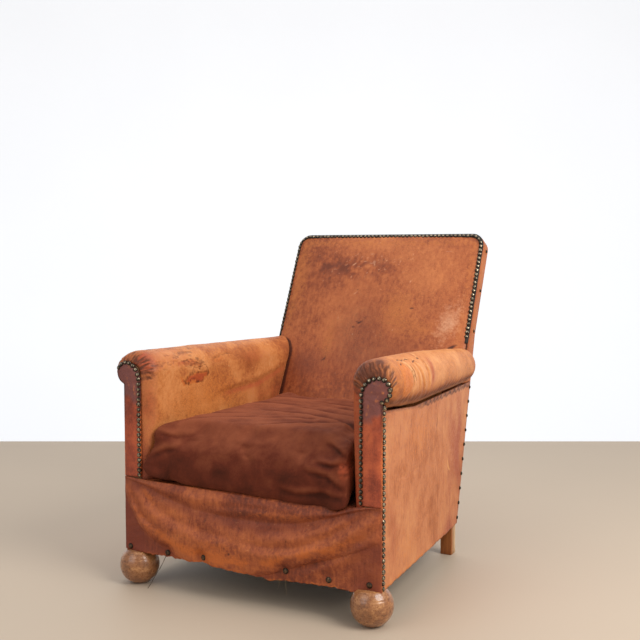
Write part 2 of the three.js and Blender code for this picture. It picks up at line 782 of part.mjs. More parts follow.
function backNailRow() {
  const points = [];
  const inset = 4;
  const place = (x, z) => point(x, backFace(x, z) - gap - nailRadius - 1.5, z);
  const heights = [armTopRear + 6, 640, backTop - backCorner - 10];
  const steps = 4;
  const corner = backCorner - inset;
  const cornerX = -(backHalf - backCorner);
  const cornerZ = backTop - backCorner;
  heights.forEach(z => points.push(place(-(backHalf - inset), z)));
  for (let i = 1; i <= steps; i += 1) {
    const turn = Math.PI - (Math.PI / 2) * (i / steps);
    points.push(place(cornerX + corner * Math.cos(turn), cornerZ + corner * Math.sin(turn)));
  }
  points.push(place(0, backTop - inset));
  const otherSide = points.slice(0, -1).reverse().map(p => point(-p.x, p.y, p.z));
  return rod([...points, ...otherSide], nailRadius, 5, 40);
}

function apronNail(x) {
  const radius = apronNailRadius;
  const depth = apronNailDepth;
  const profile = [[0, 0], [radius, 0], [radius * 0.8, depth * 0.6], [0, depth]];
  const geometry = new THREE.LatheGeometry(profile.map(([r, h]) => new THREE.Vector2(r, h)), 8);
  return geometry.rotateX(Math.PI).translate(x, -2 * gap - skin, apronNailHeight);
}

function buildFront() {
  add('front_apron', frontApron(), redLeather);
  add('seat_cushion', seatCushion(), brownVelvet);
  add('back_nail_row', backNailRow(), agedBrass);
  apronNailPlaces.forEach((x, i) => add(`apron_nail_${i + 1}`, apronNail(x), agedBrass));
}

buildFrame();
buildSeat();
buildBack();
buildArms();
buildFront();

// Stand the chair on its feet, centred on its own plan.
const extent = new THREE.Box3().setFromObject(chair);
chair.position.set(0, -(extent.min.y + extent.max.y) / 2, -extent.min.z);

export default chair;
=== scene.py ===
import json
import math
import bmesh
import bpy
import numpy as np
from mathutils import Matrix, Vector


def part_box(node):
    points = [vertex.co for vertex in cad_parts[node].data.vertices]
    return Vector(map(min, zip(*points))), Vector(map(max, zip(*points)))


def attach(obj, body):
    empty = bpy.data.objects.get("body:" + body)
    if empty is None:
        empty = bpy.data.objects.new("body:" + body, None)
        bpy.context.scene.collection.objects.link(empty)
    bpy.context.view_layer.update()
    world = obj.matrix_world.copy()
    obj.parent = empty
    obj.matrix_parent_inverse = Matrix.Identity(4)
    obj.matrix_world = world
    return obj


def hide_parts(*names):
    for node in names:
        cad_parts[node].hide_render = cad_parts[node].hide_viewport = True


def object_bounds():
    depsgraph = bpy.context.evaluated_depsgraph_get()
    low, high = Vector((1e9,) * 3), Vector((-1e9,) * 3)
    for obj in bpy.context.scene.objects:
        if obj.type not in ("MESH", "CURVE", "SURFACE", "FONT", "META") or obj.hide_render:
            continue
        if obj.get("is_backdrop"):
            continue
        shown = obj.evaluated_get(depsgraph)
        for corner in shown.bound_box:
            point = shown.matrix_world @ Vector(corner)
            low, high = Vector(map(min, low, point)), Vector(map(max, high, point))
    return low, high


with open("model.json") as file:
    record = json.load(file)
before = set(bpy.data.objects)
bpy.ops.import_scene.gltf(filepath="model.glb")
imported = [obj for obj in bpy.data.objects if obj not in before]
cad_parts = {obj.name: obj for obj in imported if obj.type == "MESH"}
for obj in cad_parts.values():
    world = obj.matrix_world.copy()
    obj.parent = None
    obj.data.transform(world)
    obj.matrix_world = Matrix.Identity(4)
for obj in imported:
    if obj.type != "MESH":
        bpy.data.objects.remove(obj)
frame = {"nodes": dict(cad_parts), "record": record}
nodes = frame["nodes"]
scene = bpy.context.scene
hideMarks = ["tone", "worn", "stainAndShade", "scarAndShade", "scratchAndHighlight"]  # painted amounts that every hide has
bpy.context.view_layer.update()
print("chair: frame loaded,", len(nodes), "nodes")

# Lengths below are in millimetres, with y = 0 on the front plane of the arms, until a mesh is made.
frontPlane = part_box("arm_cover_right")[0].y * 1000
chair = {
    "frontHalf": 325, "rearHalf": 282, "rearFoot": 566, "skirtFoot": 77, "lowerRake": 15, "upperRake": 24.85,
    "kneeHeight": 549, "backPlaneFoot": 649, "backPlaneHeight": 558, "backHalf": 279, "backTop": 814,
    "backCorner": 32, "backCrown": 24, "backBorder": 40, "seatDeck": 240.5, "seatFront": 247, "seatRear": 226,
    "armFlare": 10, "rollFront": 449, "rollRear": 431, "rollSettle": 200, "skin": 2.4, "gap": 0.4,
}
sides = (("right", 1), ("left", -1))
lean = math.radians(chair["upperRake"])


def mix(a, b, t):
    return a + (b - a) * t


def clamp01(t):
    return np.clip(t, 0, 1)


def smooth(t):
    t = clamp01(t)
    return t * t * (3 - 2 * t)


# the chair's main surfaces, as in the CAD
def rearY(z):
    below = np.maximum(np.minimum(z, chair["kneeHeight"]) - chair["skirtFoot"], 0)
    above = np.maximum(z - chair["kneeHeight"], 0)
    return chair["rearFoot"] + below * math.tan(math.radians(chair["lowerRake"])) + above * math.tan(lean)


def backY(z):
    return chair["backPlaneFoot"] + (z - chair["backPlaneHeight"]) * math.tan(lean)


def backFace(x, z):
    across = np.maximum(1 - np.abs(x / chair["backHalf"]) ** 4, 0)
    foot = chair["seatDeck"] - 60
    up = np.sin(np.pi * clamp01((z - foot) / (chair["backTop"] - foot)))
    return backY(z) - chair["backCrown"] * across * np.maximum(up, 0) ** 0.6


def backHalfAt(z, inset=0.0):
    into = clamp01((z - (chair["backTop"] - chair["backCorner"])) / chair["backCorner"])
    return chair["backHalf"] - inset - chair["backCorner"] * (1 - np.sqrt(1 - into * into))


def sideX(y, z, inset=0.0):
    return mix(chair["frontHalf"], chair["rearHalf"], y / rearY(z)) - inset


def seatHalf(y):
    along = clamp01(y / backY(chair["seatDeck"]))
    return mix(chair["seatFront"], chair["seatRear"], along) + chair["armFlare"] - chair["skin"] - 1


def underRoll(y):
    # height of the arm roll's underside
    return mix(chair["rollFront"], chair["rollRear"], clamp01(y / chair["rollSettle"]))


def panelRear(z):
    # where the side hides and the rear legs stop, just inside the outside back
    return rearY(z) - chair["skin"] - chair["gap"]


# noise and painting
def lattice(cell, seed):
    # a fixed random value from -1 to 1 for each cell, from products of large primes
    primes = (374761393, 668265263, 1442695041)
    n = sum(cell[..., k] * prime for k, prime in enumerate(primes)) + seed * 1013904223
    n = (n ^ (n >> 13)) * 1274126177 & 0xFFFFFFFF
    return ((n ^ (n >> 16)) & 0xFFFF) / 32767.5 - 1


def noiseAt(points, size, seed=0, octaves=1):
    # smooth value noise from -1 to 1; size is the blob size in mm, one number or one for each axis
    total, weight, height = 0, 0, 1.0
    p = np.asarray(points, float) / np.asarray(size, float)
    for octave in range(octaves):
        q = p * 2 ** octave
        cell = np.floor(q).astype(np.int64)
        f = smooth(q - cell)
        value = 0
        for corner in range(8):
            step = np.array([corner & 1, corner >> 1 & 1, corner >> 2 & 1])
            share = np.prod(np.where(step == 1, f, 1 - f), axis=-1)
            value = value + share * lattice(cell + step, seed + octave * 31)
        total, weight, height = total + value * height, weight + height, height * 0.55
    return total / weight


def distanceTo(u, v, path):
    # distance from (u, v) to a line of points, and how far along it, from 0 to 1
    best, along = np.full(np.shape(u), 1e9), np.zeros(np.shape(u))
    count = len(path) - 1
    for i in range(count):
        (a, b), (c, d) = path[i], path[i + 1]
        t = clamp01(((u - a) * (c - a) + (v - b) * (d - b)) / max((c - a) ** 2 + (d - b) ** 2, 1e-9))
        gapTo = np.hypot(u - mix(a, c, t), v - mix(b, d, t))
        closer = gapTo < best
        best, along = np.where(closer, gapTo, best), np.where(closer, (i + t) / count, along)
    return best, along


def stroke(u, v, path, width):
    away, along = distanceTo(u, v, path)
    taper = np.sin(np.pi * clamp01(along * 0.9 + 0.05)) ** 0.5
    return peak(away, width) * taper


def blot(u, v, centre, radii):
    return np.exp(-((u - centre[0]) / radii[0]) ** 2 - ((v - centre[1]) / radii[1]) ** 2)


def peak(away, width):
    # 1 where away is 0, falling off softly to both sides
    return np.exp(-(away / width) ** 2)


def paint(marks, u, v, rows, share=1.0):
    # each row has a mark, its amount, and a centre with radii or a line with its width
    for mark, amount, where, size in rows:
        shape = stroke(u, v, where, size) if isinstance(where, list) else blot(u, v, where, size)
        marks[mark] += amount * shape * share


def bare(grid):
    return {mark: np.zeros_like(grid) for mark in hideMarks}


# meshes
def finishPiece(obj, replaced=(), body="root"):
    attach(obj, body)
    if replaced:
        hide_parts(*replaced)
    return obj


def meshPiece(name, points, faces, material, marks=None):
    # points in mm; marks are painted amounts for each point; the faces are turned to point out
    coords = (np.asarray(points, float).reshape(-1, 3) + (0, frontPlane, 0)) / 1000
    mesh = bpy.data.meshes.new(name)
    mesh.from_pydata(coords.tolist(), [], faces)
    mesh.materials.append(material)
    for mark, values in (marks or {}).items():
        layer = mesh.attributes.new(mark, "FLOAT", "POINT")
        layer.data.foreach_set("value", np.asarray(values, np.float32).ravel())
    obj = bpy.data.objects.new(name, mesh)
    scene.collection.objects.link(obj)
    cleanMesh(mesh)
    return obj


def cleanMesh(mesh):
    work = bmesh.new()
    work.from_mesh(mesh)
    bmesh.ops.remove_doubles(work, verts=work.verts, dist=1e-6)
    if work.calc_volume(signed=True) < 0:
        bmesh.ops.reverse_faces(work, faces=work.faces)
    for f in work.faces:
        f.smooth = True
    work.to_mesh(mesh)
    work.free()


def applied(obj):
    # bakes the modifiers into the mesh and takes them off
    mesh = bpy.data.meshes.new_from_object(obj.evaluated_get(bpy.context.evaluated_depsgraph_get()))
    obj.modifiers.clear()
    obj.data = mesh
    return obj


def gridQuads(rows, columns, start=0, wrap=False):
    i, j = np.meshgrid(np.arange(rows - 1), np.arange(columns if wrap else columns - 1), indexing="ij")
    k = (j + 1) % columns
    quads = np.stack([i * columns + j, i * columns + k, (i + 1) * columns + k, (i + 1) * columns + j], -1)
    return (quads.reshape(-1, 4) + start).tolist()


def shellPiece(name, outer, inner, material, marks=None):
    # a closed sheet or pad between two grids of points that share their rows and columns
    rows, columns = outer.shape[:2]
    count = rows * columns
    faces = gridQuads(rows, columns) + [q[::-1] for q in gridQuads(rows, columns, count)]
    rim = [(0, j) for j in range(columns)] + [(i, columns - 1) for i in range(1, rows)]
    rim += [(rows - 1, j) for j in range(columns - 2, -1, -1)] + [(i, 0) for i in range(rows - 2, 0, -1)]
    ring = [i * columns + j for i, j in rim]
    faces += [[b, a, a + count, b + count] for a, b in zip(ring, ring[1:] + ring[:1])]
    painted = {}
    for mark in hideMarks:
        values = np.broadcast_to((marks or {}).get(mark, 0.0), (rows, columns)).ravel()
        painted[mark] = np.concatenate([values, values])
    return meshPiece(name, np.concatenate([outer.reshape(-1, 3), inner.reshape(-1, 3)]), faces, material,
                     painted)


def outward(grid, away):
    # unit normals of a grid of points, turned to the side that away points to
    across = np.gradient(grid, axis=1)
    along = np.gradient(grid, axis=0)
    n = np.cross(across, along)
    n /= np.maximum(np.linalg.norm(n, axis=-1, keepdims=True), 1e-9)
    return n * np.where(np.sum(n * away, axis=-1, keepdims=True) < 0, -1, 1)


def evenly(path, pitch, inset=0.0):
    # points at an even pitch along a line of points
    path = np.asarray(path, float)
    steps = np.r_[0, np.cumsum(np.linalg.norm(np.diff(path[:, :3], axis=0), axis=1))]
    count = max(int(round((steps[-1] - 2 * inset) / pitch)), 1)
    at = np.linspace(inset, steps[-1] - inset, count + 1)
    return np.stack([np.interp(at, steps, path[:, k]) for k in range(path.shape[1])], -1)


# camera
cameraLook = {"place": (1.1285, -2.2015, 0.7665), "turn": 27.54, "pitch": -3.90, "lens": 56.0}
cameraData = bpy.data.cameras.new("camera")
cameraData.sensor_width = 36
cameraData.lens = cameraLook["lens"]
cameraData.clip_end = 60
camera = bpy.data.objects.new("camera", cameraData)
scene.collection.objects.link(camera)
camera.location = cameraLook["place"]
camera.rotation_euler = (math.radians(90 + cameraLook["pitch"]), 0, math.radians(cameraLook["turn"]))
scene.camera = camera


# materials
def linear(hexText):
    channels = [int(hexText[i:i + 2], 16) / 255 for i in (1, 3, 5)]
    return tuple(c / 12.92 if c <= 0.04045 else ((c + 0.055) / 1.055) ** 2.4 for c in channels) + (1.0,)


def addNode(tree, kind, inputs=None, **settings):
    node = tree.nodes.new(kind)
    for key, value in settings.items():
        setattr(node, key, value)
    for key, value in (inputs or {}).items():
        if isinstance(value, bpy.types.NodeSocket):
            tree.links.new(value, node.inputs[key])
        else:
            node.inputs[key].default_value = value
    return node


def newMaterial(name):
    material = bpy.data.materials.new(name)
    material.use_nodes = True
    tree = material.node_tree
    tree.nodes.clear()
    place = addNode(tree, "ShaderNodeTexCoord").outputs["Object"]
    return material, tree, place


def closeMaterial(tree, shader):
    addNode(tree, "ShaderNodeOutputMaterial", {"Surface": shader.outputs["BSDF"]})


def setRamp(node, stops):
    ramp = node.color_ramp
    while len(ramp.elements) > 1:
        ramp.elements.remove(ramp.elements[-1])
    for i, (at, colour) in enumerate(stops):
        element = ramp.elements[0] if i == 0 else ramp.elements.new(at)
        element.position = at
        element.color = linear(colour)


def hideMaterial(name, look):
    # vegetable-tanned hide: the eye sees cloudy brown mottling, darker grime in the grain, satin highlights
    material, tree, place = newMaterial(name)
    cloud = addNode(tree, "ShaderNodeTexNoise", {
        "Vector": place, "Scale": 1000 / look["cloud"], "Detail": 5.0, "Roughness": 0.62, "Distortion": 0.6})
    speck = addNode(tree, "ShaderNodeTexNoise", {
        "Vector": place, "Scale": 1000 / look["speck"], "Detail": 6.0, "Roughness": 0.68})
    stretched = addNode(tree, "ShaderNodeMapping", {"Vector": place, "Scale": look["streakScale"]})
    streak = addNode(tree, "ShaderNodeTexNoise", {
        "Vector": stretched.outputs["Vector"], "Scale": 1000 / look["streak"], "Detail": 4.0,
        "Roughness": 0.6})
    marks = {m: addNode(tree, "ShaderNodeAttribute", attribute_name=m).outputs["Fac"] for m in hideMarks}
    # the shares are centred on the ramp's middle, then the painted tone is added
    level = 0.5 - 0.5 * (look["cloudShare"] + look["speckShare"] + look["streakShare"])
    patterns = [(cloud.outputs["Fac"], look["cloudShare"]), (speck.outputs["Fac"], look["speckShare"]),
                (streak.outputs["Fac"], look["streakShare"]), (marks["tone"], 0.42)]
    for amount, share in patterns:
        level = addNode(tree, "ShaderNodeMath", {0: amount, 1: share, 2: level}, operation="MULTIPLY_ADD")
        level = level.outputs[0]
    ramp = addNode(tree, "ShaderNodeValToRGB", {"Fac": level})
    setRamp(ramp, [(0.12, look["dark"]), (0.36, look["shade"]), (0.56, look["mid"]), (0.86, look["light"])])
    colour = ramp.outputs["Color"]
    # painted marks get ragged edges from the speckle
    for mark, amount in (("worn", 0.85), ("stainAndShade", 0.85), ("scratchAndHighlight", 0.75), ("scarAndShade", 0.9)):
        ragged = addNode(tree, "ShaderNodeMath", {
            0: speck.outputs["Fac"], 1: 1.1, 2: marks[mark]}, operation="MULTIPLY_ADD")
        share = addNode(tree, "ShaderNodeMapRange", {
            "Value": ragged.outputs[0], "From Min": 0.72, "From Max": 1.28, "To Max": amount})
        colour = addNode(tree, "ShaderNodeMix", {
            0: share.outputs["Result"], 6: colour, 7: linear(look[mark + "Colour"])},
            data_type="RGBA").outputs[2]
    # open pores and fine surface crackle, drawn at 3 to 5 mm so that they show
    pores = addNode(tree, "ShaderNodeTexVoronoi", {"Vector": place, "Scale": 1000 / 2.6, "Randomness": 1.0})
    crackle = addNode(tree, "ShaderNodeTexVoronoi", {
        "Vector": place, "Scale": 1000 / look["crackle"]}, feature="DISTANCE_TO_EDGE")
    line = addNode(tree, "ShaderNodeMapRange", {
        "Value": crackle.outputs["Distance"], "From Min": 0.0, "From Max": 0.09,
        "To Min": look["crackleDark"], "To Max": 0.0})
    where = addNode(tree, "ShaderNodeMapRange", {
        "Value": cloud.outputs["Fac"], "From Min": 0.42, "From Max": 0.6, "To Min": 1.0, "To Max": 0.1})
    dirt = addNode(tree, "ShaderNodeMath", {0: line.outputs["Result"], 1: where.outputs["Result"]},
                   operation="MULTIPLY")
    colour = addNode(tree, "ShaderNodeMix", {
        0: dirt.outputs[0], 6: colour, 7: linear(look["scarAndShadeColour"])}, data_type="RGBA").outputs[2]
    rough = addNode(tree, "ShaderNodeMapRange", {
        "Value": speck.outputs["Fac"], "From Min": 0.3, "From Max": 0.7,
        "To Min": look["rough"] - 0.07, "To Max": look["rough"] + 0.12})
    relief = addNode(tree, "ShaderNodeMath", {
        0: pores.outputs["Distance"], 1: 0.25, 2: speck.outputs["Fac"]}, operation="MULTIPLY_ADD")
    relief = addNode(tree, "ShaderNodeMath", {
        0: dirt.outputs[0], 1: -0.8, 2: relief.outputs[0]}, operation="MULTIPLY_ADD")
    relief = addNode(tree, "ShaderNodeMath", {
        0: marks["scarAndShade"], 1: -0.9, 2: relief.outputs[0]}, operation="MULTIPLY_ADD")
    bump = addNode(tree, "ShaderNodeBump", {
        "Strength": 0.75, "Distance": look["relief"] / 1000, "Height": relief.outputs[0]})
    shader = addNode(tree, "ShaderNodeBsdfPrincipled", {
        "Base Color": colour, "Roughness": rough.outputs["Result"], "IOR": 1.5,
        "Specular IOR Level": look["shine"], "Normal": bump.outputs["Normal"]})
    closeMaterial(tree, shader)
    return material


# cloud, speck, streak and crackle are pattern sizes in mm; the shares say how much each one tints the hide
hideBase = {
    "cloud": 95, "speck": 9, "streak": 12, "streakScale": (1, 1, 0.09), "cloudShare": 0.9,
    "speckShare": 0.55, "streakShare": 0.35, "crackle": 6.5, "crackleDark": 0.28, "rough": 0.5,
    "relief": 0.9, "shine": 0.35,
    "dark": "#6E331A", "shade": "#8E4624", "mid": "#A95B31", "light": "#C07240",
    "wornColour": "#C9743A", "stainAndShadeColour": "#7E3927", "scratchAndHighlightColour": "#CF8B56", "scarAndShadeColour": "#431C14",
}
hides = {
    # the back's pale pink scratch colour also paints its sheen, a painted highlight
    "back_leather": hideMaterial("waxed_hide_back", {
        **hideBase, "cloud": 120, "streak": 9, "streakScale": (1, 1, 0.07), "cloudShare": 0.6,
        "speckShare": 0.65, "streakShare": 0.6,
        "wornColour": "#BC6E35", "stainAndShadeColour": "#6C3526", "scratchAndHighlightColour": "#D6A07C"}),
    "arm_leather": hideMaterial("golden_hide_arm", {
        **hideBase, "dark": "#894627", "shade": "#AC6234", "mid": "#C77D45", "light": "#DD9B64",
        "cloudShare": 0.8, "speckShare": 0.75, "streakShare": 0.1, "crackleDark": 0.3,
        "wornColour": "#D47C32", "stainAndShadeColour": "#A64429", "scratchAndHighlightColour": "#E3AE79",
        "scarAndShadeColour": "#5C2D17"}),
    "side_leather": hideMaterial("tan_hide_side", {
        **hideBase, "dark": "#944C27", "shade": "#AE6437", "mid": "#C2784C", "light": "#D18E5B",
        "cloud": 130, "streak": 5, "streakScale": (1, 1, 0.16), "cloudShare": 0.8, "speckShare": 0.75,
        "streakShare": 0.5, "crackleDark": 0.14, "wornColour": "#CD7A3C", "stainAndShadeColour": "#A35034",
        "scratchAndHighlightColour": "#DB9B5E"}),
    "facing_leather": hideMaterial("red_hide_facing", {
        **hideBase, "dark": "#712F1F", "shade": "#96432C", "mid": "#B45536", "light": "#CC683F", "cloud": 70,
        "wornColour": "#E6803F", "stainAndShadeColour": "#7A4C49", "scratchAndHighlightColour": "#F59149"}),
    "apron_leather": hideMaterial("loose_hide_apron", {
        **hideBase, "dark": "#682E1B", "shade": "#8B4225", "mid": "#A85831", "light": "#C26D3A", "cloud": 80,
        "streak": 6, "streakScale": (1, 1, 0.14), "speckShare": 0.8, "streakShare": 0.55, "crackleDark": 0.22,
        "relief": 1.2, "rough": 0.55, "wornColour": "#C86A2F", "stainAndShadeColour": "#7A3626"}),
}


def clothMaterial(name, look):
    # woven or matted stuff: thread colour varies from bundle to bundle, no gloss
    material, tree, place = newMaterial(name)
    cloud = addNode(tree, "ShaderNodeTexNoise", {
        "Vector": place, "Scale": 1000 / look["cloud"], "Detail": 5.0, "Roughness": 0.6})
    colour = addNode(tree, "ShaderNodeValToRGB", {"Fac": cloud.outputs["Fac"]})
    setRamp(colour, [(0.3, look["dark"]), (0.52, look["mid"]), (0.75, look["light"])])
    if look.get("thread"):
        weave = [addNode(tree, "ShaderNodeTexWave", {
            "Vector": place, "Scale": 1000 / look["thread"] / 20, "Distortion": 1.2, "Detail": 2.0,
            "Detail Scale": 3.0}, bands_direction=axis).outputs["Fac"] for axis in look["weave"]]
        height = addNode(tree, "ShaderNodeMath", {0: weave[0], 1: weave[1]}, operation="MAXIMUM").outputs[0]
    else:
        height = addNode(tree, "ShaderNodeTexNoise", {
            "Vector": place, "Scale": 1000 / look["fibre"], "Detail": 8.0, "Distortion": 2.0}).outputs["Fac"]
    shaded = addNode(tree, "ShaderNodeMapRange", {"Value": height, "To Min": 0.55, "To Max": 1.1})
    tinted = addNode(tree, "ShaderNodeMix", {
        0: 1.0, 6: colour.outputs["Color"], 7: shaded.outputs["Result"]}, data_type="RGBA",
        blend_type="MULTIPLY")
    bump = addNode(tree, "ShaderNodeBump", {"Strength": 0.8, "Distance": 0.0012, "Height": height})
    shader = addNode(tree, "ShaderNodeBsdfPrincipled", {
        "Base Color": tinted.outputs[2], "Roughness": 0.9, "Sheen Weight": look.get("sheen", 0.1),
        "Specular IOR Level": 0.25, "Normal": bump.outputs["Normal"]})
    closeMaterial(tree, shader)
    return material


# jute webbing threads are about 2 mm and hessian about 1.3 mm; both are drawn a little coarser, to show
jute = clothMaterial("woven_jute", {
    "cloud": 60, "thread": 3, "weave": ("X", "Z"), "dark": "#8F7447", "mid": "#A98D5E", "light": "#C0A678"})
hessian = clothMaterial("hessian_sacking", {
    "cloud": 70, "thread": 2.4, "weave": ("X", "Y"), "dark": "#86693F", "mid": "#A08255", "light": "#B79A6D"})
blackCloth = clothMaterial("bottoming_cloth", {
    "cloud": 120, "thread": 1.8, "weave": ("X", "Y"),
    "dark": "#1E1B19", "mid": "#2B2825", "light": "#3D3833"})
waxedTwine = clothMaterial("waxed_twine", {
    "cloud": 20, "fibre": 3, "dark": "#2B2018", "mid": "#43352A", "light": "#6A5847"})
horsehair = clothMaterial("curled_horsehair", {
    "cloud": 30, "fibre": 5, "dark": "#2A2018", "mid": "#43342A", "light": "#6B553F"})


def velvetMaterial(name, look):
    # rubbed cotton velvet: pile lying one way looks pale, the other way deep brown, with a soft rim
    material, tree, place = newMaterial(name)
    pile = addNode(tree, "ShaderNodeTexNoise", {
        "Vector": place, "Scale": 1000 / look["pile"], "Detail": 6.0, "Roughness": 0.62, "Distortion": 0.3})
    fuzz = addNode(tree, "ShaderNodeTexNoise", {
        "Vector": place, "Scale": 1000 / look["fuzz"], "Detail": 4.0, "Roughness": 0.8})
    # the tone holds the cushion's painted light and shade along with its pale and dark blotches
    tone = addNode(tree, "ShaderNodeAttribute", attribute_name="tone").outputs["Fac"]
    level = addNode(tree, "ShaderNodeMath", {0: tone, 1: 0.45, 2: pile.outputs["Fac"]},
                    operation="MULTIPLY_ADD")
    level = addNode(tree, "ShaderNodeMath", {
        0: fuzz.outputs["Fac"], 1: 0.22, 2: level.outputs[0]}, operation="MULTIPLY_ADD")
    ramp = addNode(tree, "ShaderNodeValToRGB", {"Fac": level.outputs[0]})
    setRamp(ramp, [(0.30, look["dark"]), (0.58, look["mid"]), (0.95, look["light"])])
    torn = addNode(tree, "ShaderNodeAttribute", attribute_name="scratchAndHighlight").outputs["Fac"]
    colour = addNode(tree, "ShaderNodeMix", {0: torn, 6: ramp.outputs["Color"], 7: linear(look["torn"])},
                     data_type="RGBA").outputs[2]
    bump = addNode(tree, "ShaderNodeBump", {"Strength": 0.5, "Distance": 0.0008,
                                            "Height": fuzz.outputs["Fac"]})
    shader = addNode(tree, "ShaderNodeBsdfPrincipled", {
        "Base Color": colour, "Roughness": 0.85, "Specular IOR Level": 0.2, "Sheen Weight": look["sheen"],
        "Sheen Roughness": 0.45, "Sheen Tint": linear(look["sheenColour"]),
        "Normal": bump.outputs["Normal"]})
    closeMaterial(tree, shader)
    return material


velvet = velvetMaterial("rubbed_cotton_velvet", {
    "pile": 55, "fuzz": 3, "dark": "#3F170A", "mid": "#5E2615", "light": "#804229", "torn": "#9B462A",
    "sheen": 0.35, "sheenColour": "#B46F4A"})


def woodMaterial(name, look):
    # plain sawn or turned timber: long grain lines, darker pores; old varnish where coat is above 0
    material, tree, place = newMaterial(name)
    stretched = addNode(tree, "ShaderNodeMapping", {"Vector": place, "Scale": look["grainScale"]})
    grain = addNode(tree, "ShaderNodeTexNoise", {
        "Vector": stretched.outputs["Vector"], "Scale": 1000 / look["grain"], "Detail": 5.0,
        "Roughness": 0.65,
        "Distortion": 0.8})
    speck = addNode(tree, "ShaderNodeTexNoise", {
        "Vector": place, "Scale": 1000 / look["speck"], "Detail": 4.0, "Roughness": 0.7})
    level = addNode(tree, "ShaderNodeMath", {
        0: speck.outputs["Fac"], 1: look["speckShare"], 2: grain.outputs["Fac"]}, operation="MULTIPLY_ADD")
    ramp = addNode(tree, "ShaderNodeValToRGB", {"Fac": level.outputs[0]})
    at = 0.5 * look["speckShare"]
    setRamp(ramp, [(0.28 + at, look["dark"]), (0.5 + at, look["mid"]), (0.72 + at, look["light"])])
    colour = ramp.outputs["Color"]
    # where the stain mark is set, a darker stain with painted shade in it, as on the legs' front faces
    if look.get("stainedAndShaded"):
        stainAndShade = addNode(tree, "ShaderNodeAttribute", attribute_name="stainAndShade").outputs["Fac"]
        darker = addNode(tree, "ShaderNodeMix", {
            0: 1.0, 6: colour, 7: linear(look["stainedAndShaded"])}, data_type="RGBA", blend_type="MULTIPLY")
        colour = addNode(tree, "ShaderNodeMix", {0: stainAndShade, 6: colour, 7: darker.outputs[2]},
                         data_type="RGBA").outputs[2]
    rough = addNode(tree, "ShaderNodeMapRange", {
        "Value": speck.outputs["Fac"], "From Min": 0.35, "From Max": 0.65,
        "To Min": look["rough"] - 0.1, "To Max": look["rough"] + 0.15})
    bump = addNode(tree, "ShaderNodeBump", {"Strength": 0.5, "Distance": 0.0006, "Height": level.outputs[0]})
    shader = addNode(tree, "ShaderNodeBsdfPrincipled", {
        "Base Color": colour, "Roughness": rough.outputs["Result"], "Coat Weight": look["coat"],
        "Coat Roughness": 0.18, "Normal": bump.outputs["Normal"]})
    closeMaterial(tree, shader)
    return material


beech = woodMaterial("sawn_beech", {
    "grain": 7, "grainScale": (0.12, 1, 1), "speck": 5, "speckShare": 0.4, "rough": 0.7, "coat": 0.0,
    "dark": "#9C7148", "mid": "#B98C5E", "light": "#CDA57A"})
legWood = woodMaterial("oak_leg", {
    "grain": 4, "grainScale": (1, 1, 0.08), "speck": 6, "speckShare": 0.3, "rough": 0.6, "coat": 0.0,
    "dark": "#A98660", "mid": "#C6A57C", "light": "#DCC09A", "stainedAndShaded": "#C4874F"})
ballWood = woodMaterial("varnished_turned_ball", {
    "grain": 16, "grainScale": (0.6, 0.6, 1), "speck": 4.5, "speckShare": 0.6, "rough": 0.33, "coat": 0.55,
    "dark": "#71472B", "mid": "#966038", "light": "#BC8654"})


def metalMaterial(name, look):
    # worn metal: dark patina in the hollows, brighter on the crown, where it is rubbed and where a highlight
    # is painted
    material, tree, place = newMaterial(name)
    patina = addNode(tree, "ShaderNodeTexNoise", {
        "Vector": place, "Scale": 1000 / look["patina"], "Detail": 4.0, "Roughness": 0.7})
    crownRubAndHighlight = addNode(tree, "ShaderNodeAttribute", attribute_name="crownRubAndHighlight").outputs["Fac"]
    level = addNode(tree, "ShaderNodeMath", {0: crownRubAndHighlight, 1: 0.4, 2: patina.outputs["Fac"]},
                    operation="MULTIPLY_ADD")
    ramp = addNode(tree, "ShaderNodeValToRGB", {"Fac": level.outputs[0]})
    setRamp(ramp, [(0.45, look["dark"]), (0.79, look["mid"]), (0.96, look["light"])])
    rough = addNode(tree, "ShaderNodeMapRange", {
        "Value": level.outputs[0], "From Min": 0.4, "From Max": 0.95, "To Min": look["rough"] + 0.2,
        "To Max": look["rough"] - 0.08})
    bump = addNode(tree, "ShaderNodeBump", {"Strength": 0.3, "Distance": 0.0003,
                                            "Height": patina.outputs["Fac"]})
    shader = addNode(tree, "ShaderNodeBsdfPrincipled", {
        "Base Color": ramp.outputs["Color"], "Metallic": look["metal"], "Roughness": rough.outputs["Result"],
        "Normal": bump.outputs["Normal"]})
    closeMaterial(tree, shader)
    return material


springSteel = metalMaterial("tempered_spring_wire", {
    "patina": 8, "dark": "#3A302A", "mid": "#6C655F", "light": "#8F8A84", "rough": 0.45, "metal": 0.9})
nailBrass = metalMaterial("antiqued_brass_nail", {
    "patina": 4, "dark": "#17110C", "mid": "#352A1F", "light": "#B3A285", "rough": 0.3, "metal": 0.6})
dullBrass = metalMaterial("dulled_brass_nail", {
    "patina": 5, "dark": "#1B130D", "mid": "#3B2C20", "light": "#6A543C", "rough": 0.42, "metal": 0.6})
print("chair: materials made")

# inner CAD nodes keep their shape and get real finishes
innerFinish = {
    "beech": beech, "jute": jute, "hessian": hessian, "horsehair": horsehair, "black_cloth": blackCloth,
    "spring_steel": springSteel, "nail_brass": nailBrass, "leg_wood": legWood, "ball_wood": ballWood,
    "velvet": velvet, **hides,
}
for row in frame["record"]["subparts"]:
    node = nodes[row["node"]]
    if not node.material_slots:
        node.data.materials.append(None)
    for materialSlot in node.material_slots:
        materialSlot.material = innerFinish[row["material_slot"]]
print("chair: inner nodes finished")


